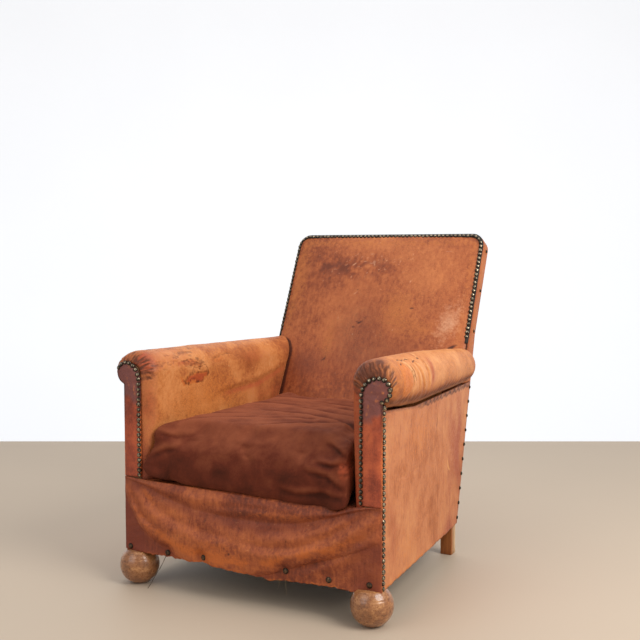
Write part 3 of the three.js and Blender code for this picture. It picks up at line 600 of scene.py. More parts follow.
# arms: one stuffed hide each, from under the roll's outer side round to the inside arm
armLook = {
    "length": 655, "round": 30, "tuck": 200, "thick": 6, "wornRun": 250, "step": 4.2, "fineStep": 2.0,
    "top": {1: (552, 517, 1.5), -1: (540, 529, 1)}, "bulge": 31, "slimming": 9, "rearRound": 24,
    "headX": 318, "headZ": 489, "headRadius": 25.5, "headInner": 279, "headShoulder": 472,
    "headStain": {1: 0.12, -1: 0.4}, "columns": 112, "innerRows": 62, "mmPerDegree": 0.92, "pleats": 0.7,
    "backGap": 2.5,
}
# lines on the roll: mm from the front and degrees round it; on the inside face: mm from the front and height
armWear = {
    "splits": [[(72, 59), (86, 63), (99, 59), (112, 63)], [(108, 55), (124, 60), (140, 55)],
               [(146, 47), (160, 50), (176, 42)], [(102, 44), (109, 28), (112, 8), (107, -10)],
               [(122, 42), (128, 22), (127, 2)], [(62, 46), (78, 50)], [(190, 54), (204, 57)],
               [(116, 30), (119, 10)]],
    "rings": [([(150, 52), (166, 28), (176, 4), (186, -22)], 1.8), ([(132, 44), (146, 14), (152, -14)], 1.2),
              ([(205, 46), (216, 18), (214, -18)], 1.4), ([(186, 60), (196, 84)], 1.0)],
    "rosyFold": [(246, 52), (250, 30), (243, 0), (238, -24)],
    "flakes": [([(128, 462), (160, 468), (196, 466), (216, 473)], 10, 1.3),
               ([(140, 455), (176, 459)], 6, 0.8),
               ([(104, 470), (128, 452)], 5, 0.7), ([(96, 500), (150, 503), (190, 497)], 8, 0.5),
               ([(240, 499), (290, 504)], 7, 0.4)],
    "longFold": [(230, 402), (300, 417), (370, 420), (440, 424), (520, 440), (600, 462)],
    "cracks": [[(132, 458), (160, 486), (206, 492), (222, 470), (190, 450)],
               [(70, 505), (120, 512), (168, 500), (210, 508)], [(96, 494), (150, 476), (190, 487)],
               [(250, 505), (300, 512), (340, 505)]],
}


def armGrid(side, inset):
    look = armLook
    turns = np.radians(np.linspace(0, 90, 13))
    # the worn front part gets a finer grid
    ys = np.r_[look["round"] * (1 - np.cos(turns)),
               np.arange(look["round"] + 2, look["wornRun"], look["fineStep"]),
               np.arange(look["wornRun"], look["length"], look["step"]), look["length"]]
    y = ys[:, None]
    t = clamp01(y / look["length"])
    into = clamp01((y - (look["length"] - look["round"])) / look["round"])
    inset = inset + look["rearRound"] * (1 - np.sqrt(1 - into * into * 0.98))
    front, rear, power = look["top"][side]
    full = {"inner": mix(chair["seatFront"], chair["seatRear"], t) + inset,
            "outer": sideX(y, chair["rollRear"]) + look["bulge"] - look["slimming"] * t ** 1.5 - inset,
            "top": mix(front, rear, t ** power) - inset, "under": underRoll(y) + inset,
            "flare": chair["armFlare"] + 0 * y}
    r = look["headRadius"]
    head = {"inner": look["headInner"] + inset, "outer": look["headX"] + r - inset,
            "top": look["headZ"] + r - inset, "under": look["headZ"] - r + inset, "flare": 0 * y}
    ease = np.sqrt(np.maximum(1 - (1 - np.minimum(y / look["round"], 1)) ** 2, 0))
    at = {k: mix(head[k], full[k], ease) for k in full}
    cx, cz = (at["inner"] + at["outer"]) / 2, (at["top"] + at["under"]) / 2
    hx, hz = (at["outer"] - at["inner"]) / 2, (at["top"] - at["under"]) / 2
    start = -np.arccos(clamp01((sideX(y, chair["rollRear"]) - chair["skin"] - chair["gap"] - cx) / hx))
    turn = mix(start, np.pi, np.linspace(0, 1, look["columns"])[None, :])
    s = np.linspace(0, 1, look["innerRows"] + 1)[None, 1:]
    faceX, faceZ = at["inner"] + at["flare"] * s ** 1.2, mix(cz, look["tuck"], s)
    x = np.concatenate([cx + hx * np.cos(turn), faceX + 0 * y], 1)
    z = np.concatenate([cz + hz * np.sin(turn), faceZ + 0 * y], 1)
    arc = np.concatenate([np.degrees(turn) + 0 * y, 180 + (cz - faceZ) / look["mmPerDegree"]], 1)
    return np.stack([side * x, y + 0 * x, z], -1), y + 0 * x, arc


def aroundRoll(line):
    return [(a, b * armLook["mmPerDegree"]) for a, b in line]


def rightArmWear(base, y, arc, marks):
    # smooth bare patch near the head, split along its edge, then ring creases and a rosy fold
    v = arc * armLook["mmPerDegree"]
    reach = np.hypot((y - 70) / 34, (v - 6) / 33)
    patch = smooth(1.5 - reach + noiseAt(base, 20, 6, 2) * 0.25)
    rim = smooth(1.5 - np.abs(reach - 1.45) / 0.2) * (y > 70)
    grime = peak(y, 36) * smooth((arc - 28) / 40) * smooth((200 - arc) / 50)
    grime = grime * (0.75 + 0.9 * noiseAt(base, 7, 9, 3))
    rosy = stroke(y, v, armWear["rosyFold"], 15)
    marks["worn"] += 1.1 * patch
    marks["scratchAndHighlight"] += 0.3 * rim * smooth(noiseAt(base, 9, 16, 2) * 2 + 0.6)
    marks["scarAndShade"] += 0.6 * grime
    marks["stainAndShade"] += 0.3 * patch + 0.3 * grime + 0.5 * smooth((40 - y) / 20) * (arc > 185) + 0.62 * rosy
    marks["tone"] += 0.25 * smooth((y - 60) / 60) * smooth((150 - arc) / 40) - 0.25 * patch
    # painted shade along the underside of the roll, where the hide is tacked
    marks["tone"] -= 0.8 * peak(arc + 38, 16) * smooth((y - 20) / 60)
    lift = 1.6 * patch - 0.6 + 1.2 * rosy
    for i, line in enumerate(map(aroundRoll, armWear["splits"])):
        wander = noiseAt(base, (9, 12, 9), 20 + i, 2)
        broken = smooth(1.1 + 1.2 * noiseAt(base, 9, 90 + i))
        split = stroke(y + wander * 2, v + wander * 4, line, 2.0) * broken
        marks["scarAndShade"] += 1.1 * split
        marks["scratchAndHighlight"] += 0.4 * stroke(y - 4, v - 4, line, 2.6)
        lift -= 2.0 * split
    for line, size in armWear["rings"]:
        line = aroundRoll(line)
        lift -= size * stroke(y, v, line, 5) - size * 0.8 * stroke(y - 11, v, line, 7)
        # painted shade in each ring's valley, and a painted highlight on the ridge behind it
        marks["tone"] -= 0.35 * stroke(y, v, line, 4)
        marks["scratchAndHighlight"] += 0.5 * stroke(y - 11, v, line, 4)
    return lift


def leftArmWear(base, y, arc, marks):
    # rubbed gold inside face, mottled roll, one flaked red place and a fold that runs down to the back
    z = base[..., 2]
    lift = 0 * y
    inside = arc > 150
    gold = blot(y, z, (200, 410), (190, 80)) * inside
    rearward = 0.5 * smooth((y - 380) / 160) * smooth((480 - z) / 60) + 0.3 * smooth((y - 500) / 80)
    marks["worn"] += 0.45 * gold
    marks["tone"] += 0.25 * gold - rearward
    marks["scarAndShade"] += 0.5 * smooth((380 - z) / 120) * smooth((46 - y) / 30) * (arc > 180)
    ragged = noiseAt(base, (20, 26, 9), 71, 3)
    for line, width, amount in armWear["flakes"]:
        flake = smooth(stroke(y, z + ragged * 9, line, width) * 1.6 + ragged * 0.5 - 0.25) * inside
        marks["stainAndShade"] += 0.55 * amount * flake
        marks["worn"] += 0.5 * amount * flake
        marks["scarAndShade"] += 1.6 * amount * flake * (1 - flake)  # dark only along the flake's rim
        lift -= 0.5 * flake
    onRoll = smooth((190 - arc) / 30)
    mottled = onRoll * smooth(0.5 + noiseAt(base, (34, 46, 20), 17, 3) * 1.4) * smooth((330 - y) / 160)
    mottled = mottled * smooth(noiseAt(base, (9, 26, 7), 18, 3) * 2.4 + 0.35)
    marks["scarAndShade"] += 0.5 * mottled
    marks["stainAndShade"] += 0.3 * onRoll * smooth((220 - y) / 120) + 0.35 * blot(y, arc, (435, 168), (90, 26))
    lift -= 0.35 * mottled
    fold, fade = armWear["longFold"], (arc > 175) * smooth((y - 210) / 120)
    under = smooth((y - 330) / 120) * smooth((430 - z) / 40)
    lift -= (2.2 * stroke(y, z, fold, 7) - 1.6 * stroke(y, z - 13, fold, 10)) * fade
    # painted shade in the fold's valley and just below it, and low on the face towards the back
    marks["stainAndShade"] += (0.55 * stroke(y, z + 6, fold, 9) + 0.3 * under) * fade
    marks["scarAndShade"] += 0.25 * stroke(y, z + 2, fold, 3) * fade
    for i, line in enumerate(armWear["cracks"]):
        crack = stroke(y, z + noiseAt(base, 10, 80 + i) * 5, line, 1.3) * (arc > 140)
        marks["scarAndShade"] += 0.5 * crack
        lift -= 0.7 * crack
    return lift


def armPiece(name, side):
    look = armLook
    base, y, arc = armGrid(side, 0.0)
    lining, _, _ = armGrid(side, look["thick"] + 1.0)
    normal = outward(base, base - lining)
    z = base[..., 2]
    deep = noiseAt(base, (70, 110, 70), 3 + side, 2) * 1.6 + noiseAt(base, 22, 8 + side, 2) * 0.45
    deep += noiseAt(base, (9, 5, 9), 5 + side, 2) * 0.22
    # pleats gathered round the head, sharp at the nails and gone a hand's width behind
    pleat = np.sin(np.radians(arc) * 26 + noiseAt(base, 18, 12, 2) * 6) * peak(y - 6, 8.5)
    onHead = smooth((arc + 30) / 40) * smooth((225 - arc) / 40)
    deep += look["pleats"] * pleat * onHead * smooth(y / 6)
    # the edge tacked under the roll is gathered into small puckers
    tacked = peak(arc + 38, 13)
    puckers = 0.5 + 0.5 * np.sin(y / 4.1 + noiseAt(base, 40, 13) * 4)
    deep -= 1.7 * tacked * puckers * smooth((y - 20) / 30)
    marks = bare(y)
    marks["tone"] += noiseAt(base, 60, 40 + side, 3) * 0.5
    marks["scarAndShade"] += 0.3 * tacked * (0.6 + 0.8 * noiseAt(base, 7, 14, 2))
    alongPleats = np.stack([arc * 0.9, y * 0.35, 0 * y], -1)
    hairs = smooth(noiseAt(alongPleats, (5, 7, 5), 15, 2) * 2.6 + 0.3)
    # painted shade in the pleats' valleys round the head, and dark hair-fine streaks near the front
    marks["scarAndShade"] += onHead * (0.28 * smooth(-pleat * 1.6) + 0.62 * hairs * peak(y - 5, 12))
    front, foot = peak(y, 26), smooth((330 - z) / 90) * (arc > 180)
    marks["tone"] -= 0.35 * foot + 0.25 * front
    marks["stainAndShade"] += 0.55 * foot + look["headStain"][side] * front * (arc > 110)
    deep += (rightArmWear if side > 0 else leftArmWear)(base, y, arc, marks)
    marks["scarAndShade"] += 0.4 * smooth((-28 - arc) / 16)  # painted shade where the hide turns under the roll
    for i in range(14):
        a, b = 90 + i * 41 % 470, 20 + i * 67 % 190
        scratchAndHighlight = [(a, b), (a + 22 - i % 5 * 9, b + 9)]
        marks["scratchAndHighlight"] += 0.55 * stroke(y, arc * look["mmPerDegree"], scratchAndHighlight, 1.6)
    inner = mix(lining, base - normal * look["thick"], 0.5)
    return shellPiece(name, base + normal * deep[..., None], inner, hides["arm_leather"], marks)


def backCutter():
    # the space that the leaning back takes, a little wider than the back
    u, z = np.meshgrid(np.linspace(-1, 1, 41), np.linspace(170, 640, 31))
    x = u * (chair["backHalf"] + 3.2)
    front = np.stack([x, backFace(x, z) - armLook["backGap"], z], -1)
    rear = np.stack([x, rearY(z) + 80, z], -1)
    return shellPiece("arm_cutter", front, rear, hides["arm_leather"])


cutter = backCutter()
for name, side in sides:
    arm = armPiece("arm_" + name, side)
    cut = arm.modifiers.new("cut", "BOOLEAN")
    cut.operation, cut.solver, cut.object = "DIFFERENCE", "EXACT", cutter
    cleanMesh(applied(arm).data)
    finishPiece(arm, ["arm_cover_" + name, "arm_stuffing_" + name])
bpy.data.objects.remove(cutter)
print("chair: arms made")

# inside back: one crowned, stuffed panel
backLook = {"foot": 243.5, "columns": 150, "rows": 170, "thick": 8, "edge": 5, "nailPitch": 23.5}
backWear = {
    "scuff": [(-238, 700), (-160, 716), (-80, 722), (0, 735), (40, 716)],
    "darkSpots": [((-165, 655), (70, 30), 0.3), ((184, 786), (34, 17), 0.6), ((-190, 745), (45, 25), 0.4),
                  ((-30, 690), (60, 25), 0.25)],
    "rubbed": [("tone", 0.35, (180, 700), (90, 80)), ("tone", 0.3, (60, 770), (150, 26)),
               ("worn", 0.55, (77, 610), (52, 60)), ("worn", 0.4, (152, 564), (46, 30)),
               ("worn", 0.35, (-235, 690), (20, 110)), ("worn", 0.5, (-110, 520), (22, 60)),
               ("stainAndShade", 0.4, (-30, 560), (90, 90)), ("stainAndShade", 0.45, (-182, 462), (60, 40)),
               ("stainAndShade", 0.3, (60, 480), (160, 50))],
    "runs": ((-107, 560, 440), (44, 600, 470), (-90, 545, 430), (-20, 600, 520), (-150, 600, 500)),
    "nicks": ([(-42, 579), (-29, 574), (-20, 580)], [(-48, 566), (-38, 560)], [(110, 618), (124, 616)],
              [(-120, 470), (-108, 480)], [(20, 470), (24, 478)]),
}


def backPiece():
    look, wear = backLook, backWear
    u, t = np.meshgrid(np.linspace(-1, 1, look["columns"]), np.linspace(0, 1, look["rows"]))
    u = np.sign(u) * (1 - (1 - np.abs(u)) ** 1.15)
    z = mix(look["foot"], chair["backTop"], 1 - (1 - t) ** 1.35)
    x = u * backHalfAt(np.minimum(z, chair["backTop"]))
    rim = np.minimum(np.minimum(backHalfAt(z) - np.abs(x), chair["backTop"] - z), 400)
    roundOver = look["edge"] * (1 - np.sqrt(1 - clamp01(1 - rim / 9) ** 2 * 0.999))
    flat = np.stack([x, 0 * x, z], -1)
    deep = noiseAt(flat, (150, 1, 170), 4, 2) * 2.2 + noiseAt(flat, (40, 1, 60), 5, 2) * 0.5
    deep += noiseAt(flat, (10, 1, 12), 6, 2) * 0.15
    # slight pulls between the nails along the edge
    deep -= 0.8 * peak(rim, 16) * (0.5 + 0.5 * np.cos(2 * np.pi * (x + z) / look["nailPitch"]))
    deep *= smooth((z - 300) / 120) * 0.6 + 0.4
    marks = bare(x)
    dark = stroke(x, z, wear["scuff"], 34) * 0.95
    dark += sum(amount * blot(x, z, centre, radii) for centre, radii, amount in wear["darkSpots"])
    marks["tone"] += noiseAt(flat, (110, 1, 90), 7, 3) * 0.4 + 0.12 * smooth((z - 420) / 200)
    # the scuff is darker, and a band just above the cushion is painted shade where the back meets the seat
    marks["tone"] -= dark * (0.5 + 1.0 * noiseAt(flat, (20, 1, 14), 9, 3)) + 0.35 * peak(z - 400, 50)
    marks["stainAndShade"] += 0.42 * dark * smooth(noiseAt(flat, (20, 1, 16), 10, 3) * 1.6 + 0.5)
    paint(marks, x, z, wear["rubbed"])
    # painted sheen: a pale pink painted highlight on the lower right of the back, slanted
    sheen = blot(x - 0.25 * (z - 585), z, (228, 585), (32, 62))
    marks["scratchAndHighlight"] += 0.55 * sheen * (0.9 + 0.5 * noiseAt(flat, (26, 1, 30), 12, 2))
    # pale hair-fine scratches over the dark scuff, brown streaks that run down from it
    rng = np.random.default_rng(11)
    for i in range(150):
        cx, cz = rng.normal(-50, 66), rng.normal(720, 30)
        if i % 4 == 0:
            cx, cz = rng.uniform(-230, 240), rng.uniform(430, 800)
        angle, length = rng.normal(1.0, 0.7), rng.uniform(5, 20)
        path = [(cx, cz), (cx + length * math.cos(angle), cz + length * math.sin(angle))]
        marks["scratchAndHighlight" if i % 3 else "scarAndShade"] += rng.uniform(0.25, 0.6) * stroke(x, z, path, 1.15)
    for at, top, foot in wear["runs"]:
        marks["scarAndShade"] += 0.26 * stroke(x + noiseAt(flat, 30, 61) * 4, z, [(at, top), (at - 6, foot)], 3.2)
    for path in wear["nicks"]:
        marks["scarAndShade"] += 0.8 * stroke(x, z, path, 2.2)
        deep -= 0.6 * stroke(x, z, path, 3)
    marks["scarAndShade"] += 0.5 * peak(rim, 7) * (0.7 + 0.5 * noiseAt(flat, 9, 44, 2))
    marks["worn"] += 0.35 * peak(rim - 22, 12)
    # painted shadow where each arm meets the back: round the roll above, down the inside face below
    armEdge = np.where(z > 480, 265 - 39 * np.sqrt(clamp01(1 - ((z - 480) / 49) ** 2)),
                       chair["seatRear"] + chair["armFlare"] * clamp01((480 - z) / 280) ** 1.2)
    marks["scarAndShade"] += 1.1 * peak(np.abs(x) - armEdge, 7) * smooth((532 - z) / 12)
    outer = np.stack([x, backFace(x, z) + roundOver - deep * 0.8, z], -1)
    inner = np.stack([x * 0.998, backFace(x, z) + look["thick"] * math.cos(lean) + 3,
                      z - look["thick"] * math.sin(lean) * smooth((z - look["foot"]) / 60)], -1)
    return shellPiece("inside_back", outer, inner, hides["back_leather"], marks)


back = finishPiece(backPiece(), ["back_cover", "back_stuffing"])
print("chair: back made")


# border band round the back's top and sides, and the dark tape under the nails
def backEdge(inset, step=4.0, foot=431.0):
    # the back's outline from its left foot over the top to its right foot: x, z and the outward direction
    half, top, r = chair["backHalf"], chair["backTop"], chair["backCorner"]
    line = [(-half + inset, z, -1, 0) for z in np.arange(foot, top - r, step)]
    for turn in np.linspace(math.pi, math.pi / 2, 14):
        c, s = math.cos(turn), math.sin(turn)
        line.append((-half + r + (r - inset) * c, top - r + (r - inset) * s, c, s))
    line += [(x, top - inset, 0, 1) for x in np.arange(-half + r + step, 0, step)]
    line = np.array(line)
    return np.concatenate([line, line[::-1] * (-1, 1, -1, 1)])


def bandPiece():
    edge = backEdge(-chair["gap"])
    x, z, nx, nz = (edge[:, k][:, None] for k in range(4))
    v = np.linspace(0, 1, 15)[None, :]
    top = chair["backTop"] - chair["backCorner"]
    below = smooth((top - z) / 40)
    width = chair["backBorder"]
    rearTop = backY(z) + width * math.cos(lean)
    rearSide = panelRear(np.minimum(z, 590)) + np.maximum(z - 590, 0) * math.tan(lean)
    rear = mix(rearTop, np.minimum(rearSide, rearTop + width), below * smooth((600 - z) / 60))
    drop = width * math.sin(lean) * smooth((z - chair["kneeHeight"]) / 40)
    flat = np.stack([x + 0 * v, backY(z) + v * width, z + 0 * v], -1)
    puff = 1.3 * np.sin(np.pi * v) ** 0.7 + noiseAt(flat, 30, 90, 2) * 0.5
    fold = 2.4 * (1 - np.exp(-v / 0.06)) * (1 - np.exp(-(1 - v) / 0.06))
    lift = fold + puff * (v > 0) * (v < 1)

    def place(out):
        return np.stack([x + nx * out, mix(backY(z), rear, v) + 0 * out, z - drop * v + nz * out], -1)

    marks = {"tone": 0.25 + noiseAt(flat, 60, 91, 2) * 0.5, "worn": 0.55 * smooth((v - 0.1) * 4) + 0 * x,
             "scarAndShade": 0.8 * peak(v, 0.10) + 0 * x}
    return shellPiece("back_border", place(lift), place(0 * lift + 0.05), hides["back_leather"], marks)


finishPiece(bandPiece(), ["back_border_top", "back_border_right", "back_border_left"])

# outside back: one hide over the rear surface, slack between the posts
def outsideBackPiece():
    foot, top = chair["skirtFoot"], chair["backTop"] - chair["backBorder"] * math.sin(lean) + 2
    half, corner = chair["rearHalf"] - chair["gap"], chair["backCorner"]
    u, t = np.meshgrid(np.linspace(-1, 1, 90), np.linspace(0, 1, 120))
    z = mix(foot, top, 1 - (1 - t) ** 1.2)
    into = clamp01((z - (top - corner)) / corner)
    x = u * (half - corner * (1 - np.sqrt(1 - into * into)))
    flat = np.stack([x, 0 * x, z], -1)
    slack = clamp01(1 - np.abs(x / half) ** 6) * np.sin(np.pi * clamp01((z - foot) / (top - foot))) ** 0.4
    deep = slack * (noiseAt(flat, (160, 1, 120), 14, 2) * 3 - 2.5) + noiseAt(flat, (30, 1, 60), 15, 2) * 0.4
    for pull in ([(-240, 620), (-60, 560), (120, 575), (250, 630)],
                 [(-250, 300), (-100, 262), (90, 258), (245, 300)]):
        deep -= 2 * stroke(x, z, pull, 12) - 1.4 * stroke(x, z - 20, pull, 14)
    # the seat rail, the lower back rail and the top rail behind it hold it out
    onRail = smooth((168 - z) / 16)
    onRail = onRail + smooth(1.6 - np.abs(z - 281) / 30) + smooth(1.6 - np.abs(z - 745) / 32)
    deep = np.maximum(deep, -0.2 - 8 * (1 - clamp01(onRail)))
    marks = {"tone": noiseAt(flat, (130, 1, 150), 16, 3) * 0.6 - 0.1,
             "stainAndShade": 0.4 * smooth((260 - z) / 180) + 0 * x, "worn": 0.45 * peak(half - np.abs(x), 16),
             "scarAndShade": 0.3 * smooth(noiseAt(flat, (70, 1, 50), 17, 3) * 2 - 0.4)}
    outer = np.stack([x, rearY(z) + deep, z], -1)
    inner = np.stack([x, rearY(z) + np.minimum(deep, 0) - chair["skin"], z], -1)
    return shellPiece("outside_back_hide", outer, inner, hides["back_leather"], marks)


outside = finishPiece(outsideBackPiece(), ["outside_back"])


# side panels: flat hides, pulled into scallops by the nails of their front and rear edges
sideLook = {"columns": 150, "rows": 100, "frontPitch": 23.5, "rearPitch": 40, "streaks": 60}
sideWear = {
    "crease": [(40, 291), (180, 288), (330, 285)],
    "patches": [("stainAndShade", 0.4, [(40, 270), (70, 180), (60, 100)], 26), ("worn", 0.4, (250, 360), (120, 60)),
                ("worn", 0.35, (170, 130), (80, 40)),
                ("scratchAndHighlight", 1.1, [(462, 262), (466, 246), (474, 236), (482, 232)], 4)],
}


def sidePiece(name, side):
    look, foot = sideLook, chair["skirtFoot"]
    u, t = np.meshgrid(np.linspace(0, 1, look["columns"]), np.linspace(0, 1, look["rows"]))
    z = mix(foot, underRoll(u * 640) - 1, t)
    z = mix(foot, underRoll(u * panelRear(z)) - 1, t)
    y, top = u * panelRear(z), underRoll(u * panelRear(z)) - 1
    flat = np.stack([0 * y, y, z], -1)
    inside = np.sin(np.pi * u) ** 0.4 * np.sin(np.pi * clamp01(t * 0.96 + 0.02)) ** 0.4
    deep = inside * (noiseAt(flat, (1, 190, 150), 21 + side, 2) * 2.2 + 1.0)
    deep += noiseAt(flat, (1, 26, 70), 22 + side, 2) * 0.35
    crease = stroke(y, z, sideWear["crease"], 3)
    deep -= 0.9 * crease
    deep -= 0.8 * peak(y, 13) * (0.5 + 0.5 * np.cos(2 * np.pi * z / look["frontPitch"]))
    deep -= 1.1 * peak(panelRear(z) - y, 12) * (0.5 + 0.5 * np.cos(2 * np.pi * z / look["rearPitch"]))
    # ragged lower edge and a loose hem
    hem = peak(z - foot, 9)
    ragged = (noiseAt(flat, (1, 11, 400), 23 + side, 3) * 2.6 - 0.4) * peak(z - foot, 14)
    deep += hem * (0.6 + noiseAt(flat, (1, 40, 200), 24, 2) * 0.9)
    deep += 0.8 * peak(z - top, 9) * smooth((y - 60) / 100)
    marks = bare(y)
    marks["tone"] += noiseAt(flat, (1, 120, 160), 25 + side, 3) * 0.45 + 0.2
    marks["tone"] += noiseAt(flat, (1, 24, 34), 29, 3) * 0.4
    # a dark scalloped line where the roll's edge is tacked down, and painted shade right under the roll
    scallop = top - 5 - 5 * np.abs(np.sin(y / 10.5 + noiseAt(flat, (1, 50, 50), 28) * 3))
    marks["scarAndShade"] += 0.62 * peak(z - scallop, 4.2) * smooth((y - 170) / 120) + 0.55 * peak(z - top, 5)
    marks["stainAndShade"] += 0.75 * smooth((y - 380) / 190) * smooth(0.6 + noiseAt(flat, (1, 60, 130), 26, 2))
    marks["stainAndShade"] += 0.45 * smooth((150 - z) / 80) * smooth((y - 250) / 200)
    marks["worn"] += 0.9 * peak(y, 3.2) + 0.7 * hem * smooth(noiseAt(flat, (1, 14, 9), 27, 2) + 0.6)
    marks["scratchAndHighlight"] += 0.22 * crease
    paint(marks, y, z, sideWear["patches"])
    rng = np.random.default_rng(30 + side)
    for i in range(look["streaks"]):
        cy, cz, length = rng.uniform(15, 540), rng.uniform(95, 420), rng.uniform(10, 60)
        mark, amount = (("scarAndShade", 0.38), ("scratchAndHighlight", 0.4), ("stainAndShade", 0.5))[i % 3]
        path = [(cy, cz), (cy + rng.uniform(-3, 3), cz - length)]
        marks[mark] += amount * stroke(y, z, path, rng.uniform(1.2, 3))
    x = sideX(y, z)
    outer = np.stack([side * (x + deep), y, z + ragged], -1)
    inner = np.stack([side * (x - chair["skin"] + np.minimum(deep, 0)), y, z + ragged], -1)
    return shellPiece(name, outer, inner, hides["side_leather"], marks)


for name, side in sides:
    panel = finishPiece(sidePiece("side_panel_" + name, side), ["outside_arm_" + name])
print("chair: side and rear hides made")


# facings: padded strips with a scroll head
facingLook = {
    "foot": 251, "puff": 3.2, "edge": 5, "dentPitch": 11.7, "dent": 0.9,
    "scratches": [[(290, 430), (297, 470)], [(306, 452), (318, 492)], [(300, 505), (322, 500)]],
}


def headSpan(z):
    # the scroll: a tall shoulder on the seat side and a round lobe on the outside
    look = armLook
    cx, cz, r, half = look["headX"], look["headZ"], look["headRadius"], look["headX"] - look["headInner"]
    rise = clamp01((z - look["headShoulder"]) / (cz + r - look["headShoulder"]))
    undercut = cz - math.sqrt(r * r - (chair["frontHalf"] - cx) ** 2)
    lobe = cx + np.sqrt(np.maximum(r * r - (z - cz) ** 2, 0))
    return cx - half * np.sqrt(1 - rise * rise), np.where(z < undercut, chair["frontHalf"], lobe)


def facingPiece(name, side):
    arm, look = armLook, facingLook
    cx, cz, r, shoulder = arm["headX"], arm["headZ"], arm["headRadius"], arm["headShoulder"]
    turn = np.linspace(0, math.pi / 2, 16)
    zs = np.r_[np.arange(look["foot"], cz - 30, 3.4), np.linspace(cz - 29, cz, 14), cz + r * np.sin(turn)[1:]]
    z = zs[:, None]
    left, right = headSpan(z)
    x = mix(left, right, (1 - np.cos(np.linspace(0, math.pi, 26)))[None, :] / 2)
    z = z + 0 * x
    # how far each point is from the outline
    half = cx - arm["headInner"]
    rim = np.minimum(x - left, right - x)
    rim = np.where((z > cz) & (x > cx), np.minimum(rim, r - np.hypot(x - cx, z - cz)), rim)
    oval = half * (1 - np.hypot((x - cx) / half, (z - shoulder) / (cz + r - shoulder)))
    rim = np.where((z > shoulder) & (x < cx), np.minimum(rim, oval), rim)
    flat = np.stack([x, 0 * x, z], -1)
    puff = look["puff"] * (1 - np.exp(-np.maximum(rim, 0) / look["edge"]))
    puff = puff + noiseAt(flat, (20, 1, 45), 50 + side, 2) * 0.7
    dents = look["dent"] * peak(rim, 6) * (0.5 + 0.5 * np.cos(2 * np.pi * z / look["dentPitch"]))
    deep = np.maximum(puff - dents, 0) * smooth(rim / 2 + 0.02)
    rough = smooth((z - 400) / 60)
    deep += rough * smooth(rim / 9) * (noiseAt(flat, (14, 1, 12), 52 + side, 2) * 1.1)
    # the dark rim band above 300 mm is painted shade where the padded facing falls to its edge; the blotches
    # are dark marks
    marks = {"tone": noiseAt(flat, (24, 1, 60), 53 + side, 3) * 0.5,
             "stainAndShade": 1.15 * smooth((z - 405 + noiseAt(flat, 24, 54, 2) * 22) / 55),
             "worn": 0.55 * peak(rim, 2.6) * (z < 440),
             "scarAndShade": 0.65 * peak(rim, 4.5) * smooth((z - 300) / 160)
             + 0.3 * smooth(noiseAt(flat, (7, 1, 18), 55, 3) * 2 - 0.3),
             "scratchAndHighlight": 0.42 * rough * smooth(noiseAt(flat, (6, 1, 9), 56 + side, 2) * 3 - 1.2)}
    for scratchAndHighlight in look["scratches"]:
        marks["scratchAndHighlight"] += 0.28 * stroke(x, z, scratchAndHighlight, 3.4)
    front = -chair["gap"] - chair["skin"]
    outer = np.stack([side * x, front - deep, z], -1)
    inner = np.stack([side * x, 0 * x - chair["gap"], z], -1)
    return shellPiece(name, outer, inner, hides["facing_leather"], marks)


for name, side in sides:
    facing = finishPiece(facingPiece("facing_" + name, side), ["arm_facing_" + name])
print("chair: facings made")

# front apron: one loose hide that sags in swags between its corners
apronLook = {
    "lip": [(-325, 250), (-283, 247), (-232, 245), (-47, 240), (60, 236), (132, 232), (225, 233),
            (262, 246), (325, 252)],
    "valley": [(-325, 246), (-261, 232), (-211, 212), (-138, 195), (-44, 187), (47, 186), (135, 195),
               (219, 219), (285, 243), (325, 247)],
    "low": [(-325, 222), (-308, 206), (-288, 160), (-238, 131), (-188, 109), (-139, 95), (-68, 87),
            (2, 87), (69, 100), (135, 122), (219, 150), (300, 183), (325, 196)],
    "hem": [(-325, 79), (-222, 76), (-104, 78), (0, 71), (66, 66), (132, 70), (217, 71), (270, 70),
            (325, 73)],
    "belly": 15, "topSwell": 7, "rows": 120, "columns": 216, "frontShare": 0.86, "shoulder": 262,
    "shoulderTop": 250.6, "inside": 58,
    "folds": [
        ([(312, 244), (260, 208), (198, 170), (135, 146), (69, 136), (10, 136)], 4.5, 10),
        ([(316, 208), (260, 163), (198, 124), (135, 98)], 4.0, 10),
        ([(-318, 234), (-298, 198), (-272, 164), (-240, 145)], 4.0, 9),
        ([(-285, 226), (-240, 190), (-180, 164), (-110, 150), (-40, 146)], 2.6, 11),
        ([(250, 232), (190, 200), (120, 178), (40, 166)], 2.6, 9),
        ([(-120, 205), (-40, 214), (60, 216), (140, 212)], 1.6, 8)],
    "patches": [
        ("worn", 0.5, [(-283, 236), (-262, 216), (-240, 196)], 8), ("worn", 0.5, (-70, 110), (60, 22)),
        ("worn", 0.4, (120, 205), (120, 12)), ("stainAndShade", 0.3, (40, 170), (110, 14))],
    "nails": [(-311, 86), (-205, 85), (-108, 88), (102, 89), (205, 85), (298, 88)], "specks": 46,
}


def follow(points, x, soften=14):
    px, pz = np.array(points, float).T
    return sum(np.interp(x + d, px, pz) for d in (-soften, -soften / 2, 0, soften / 2, soften)) / 5


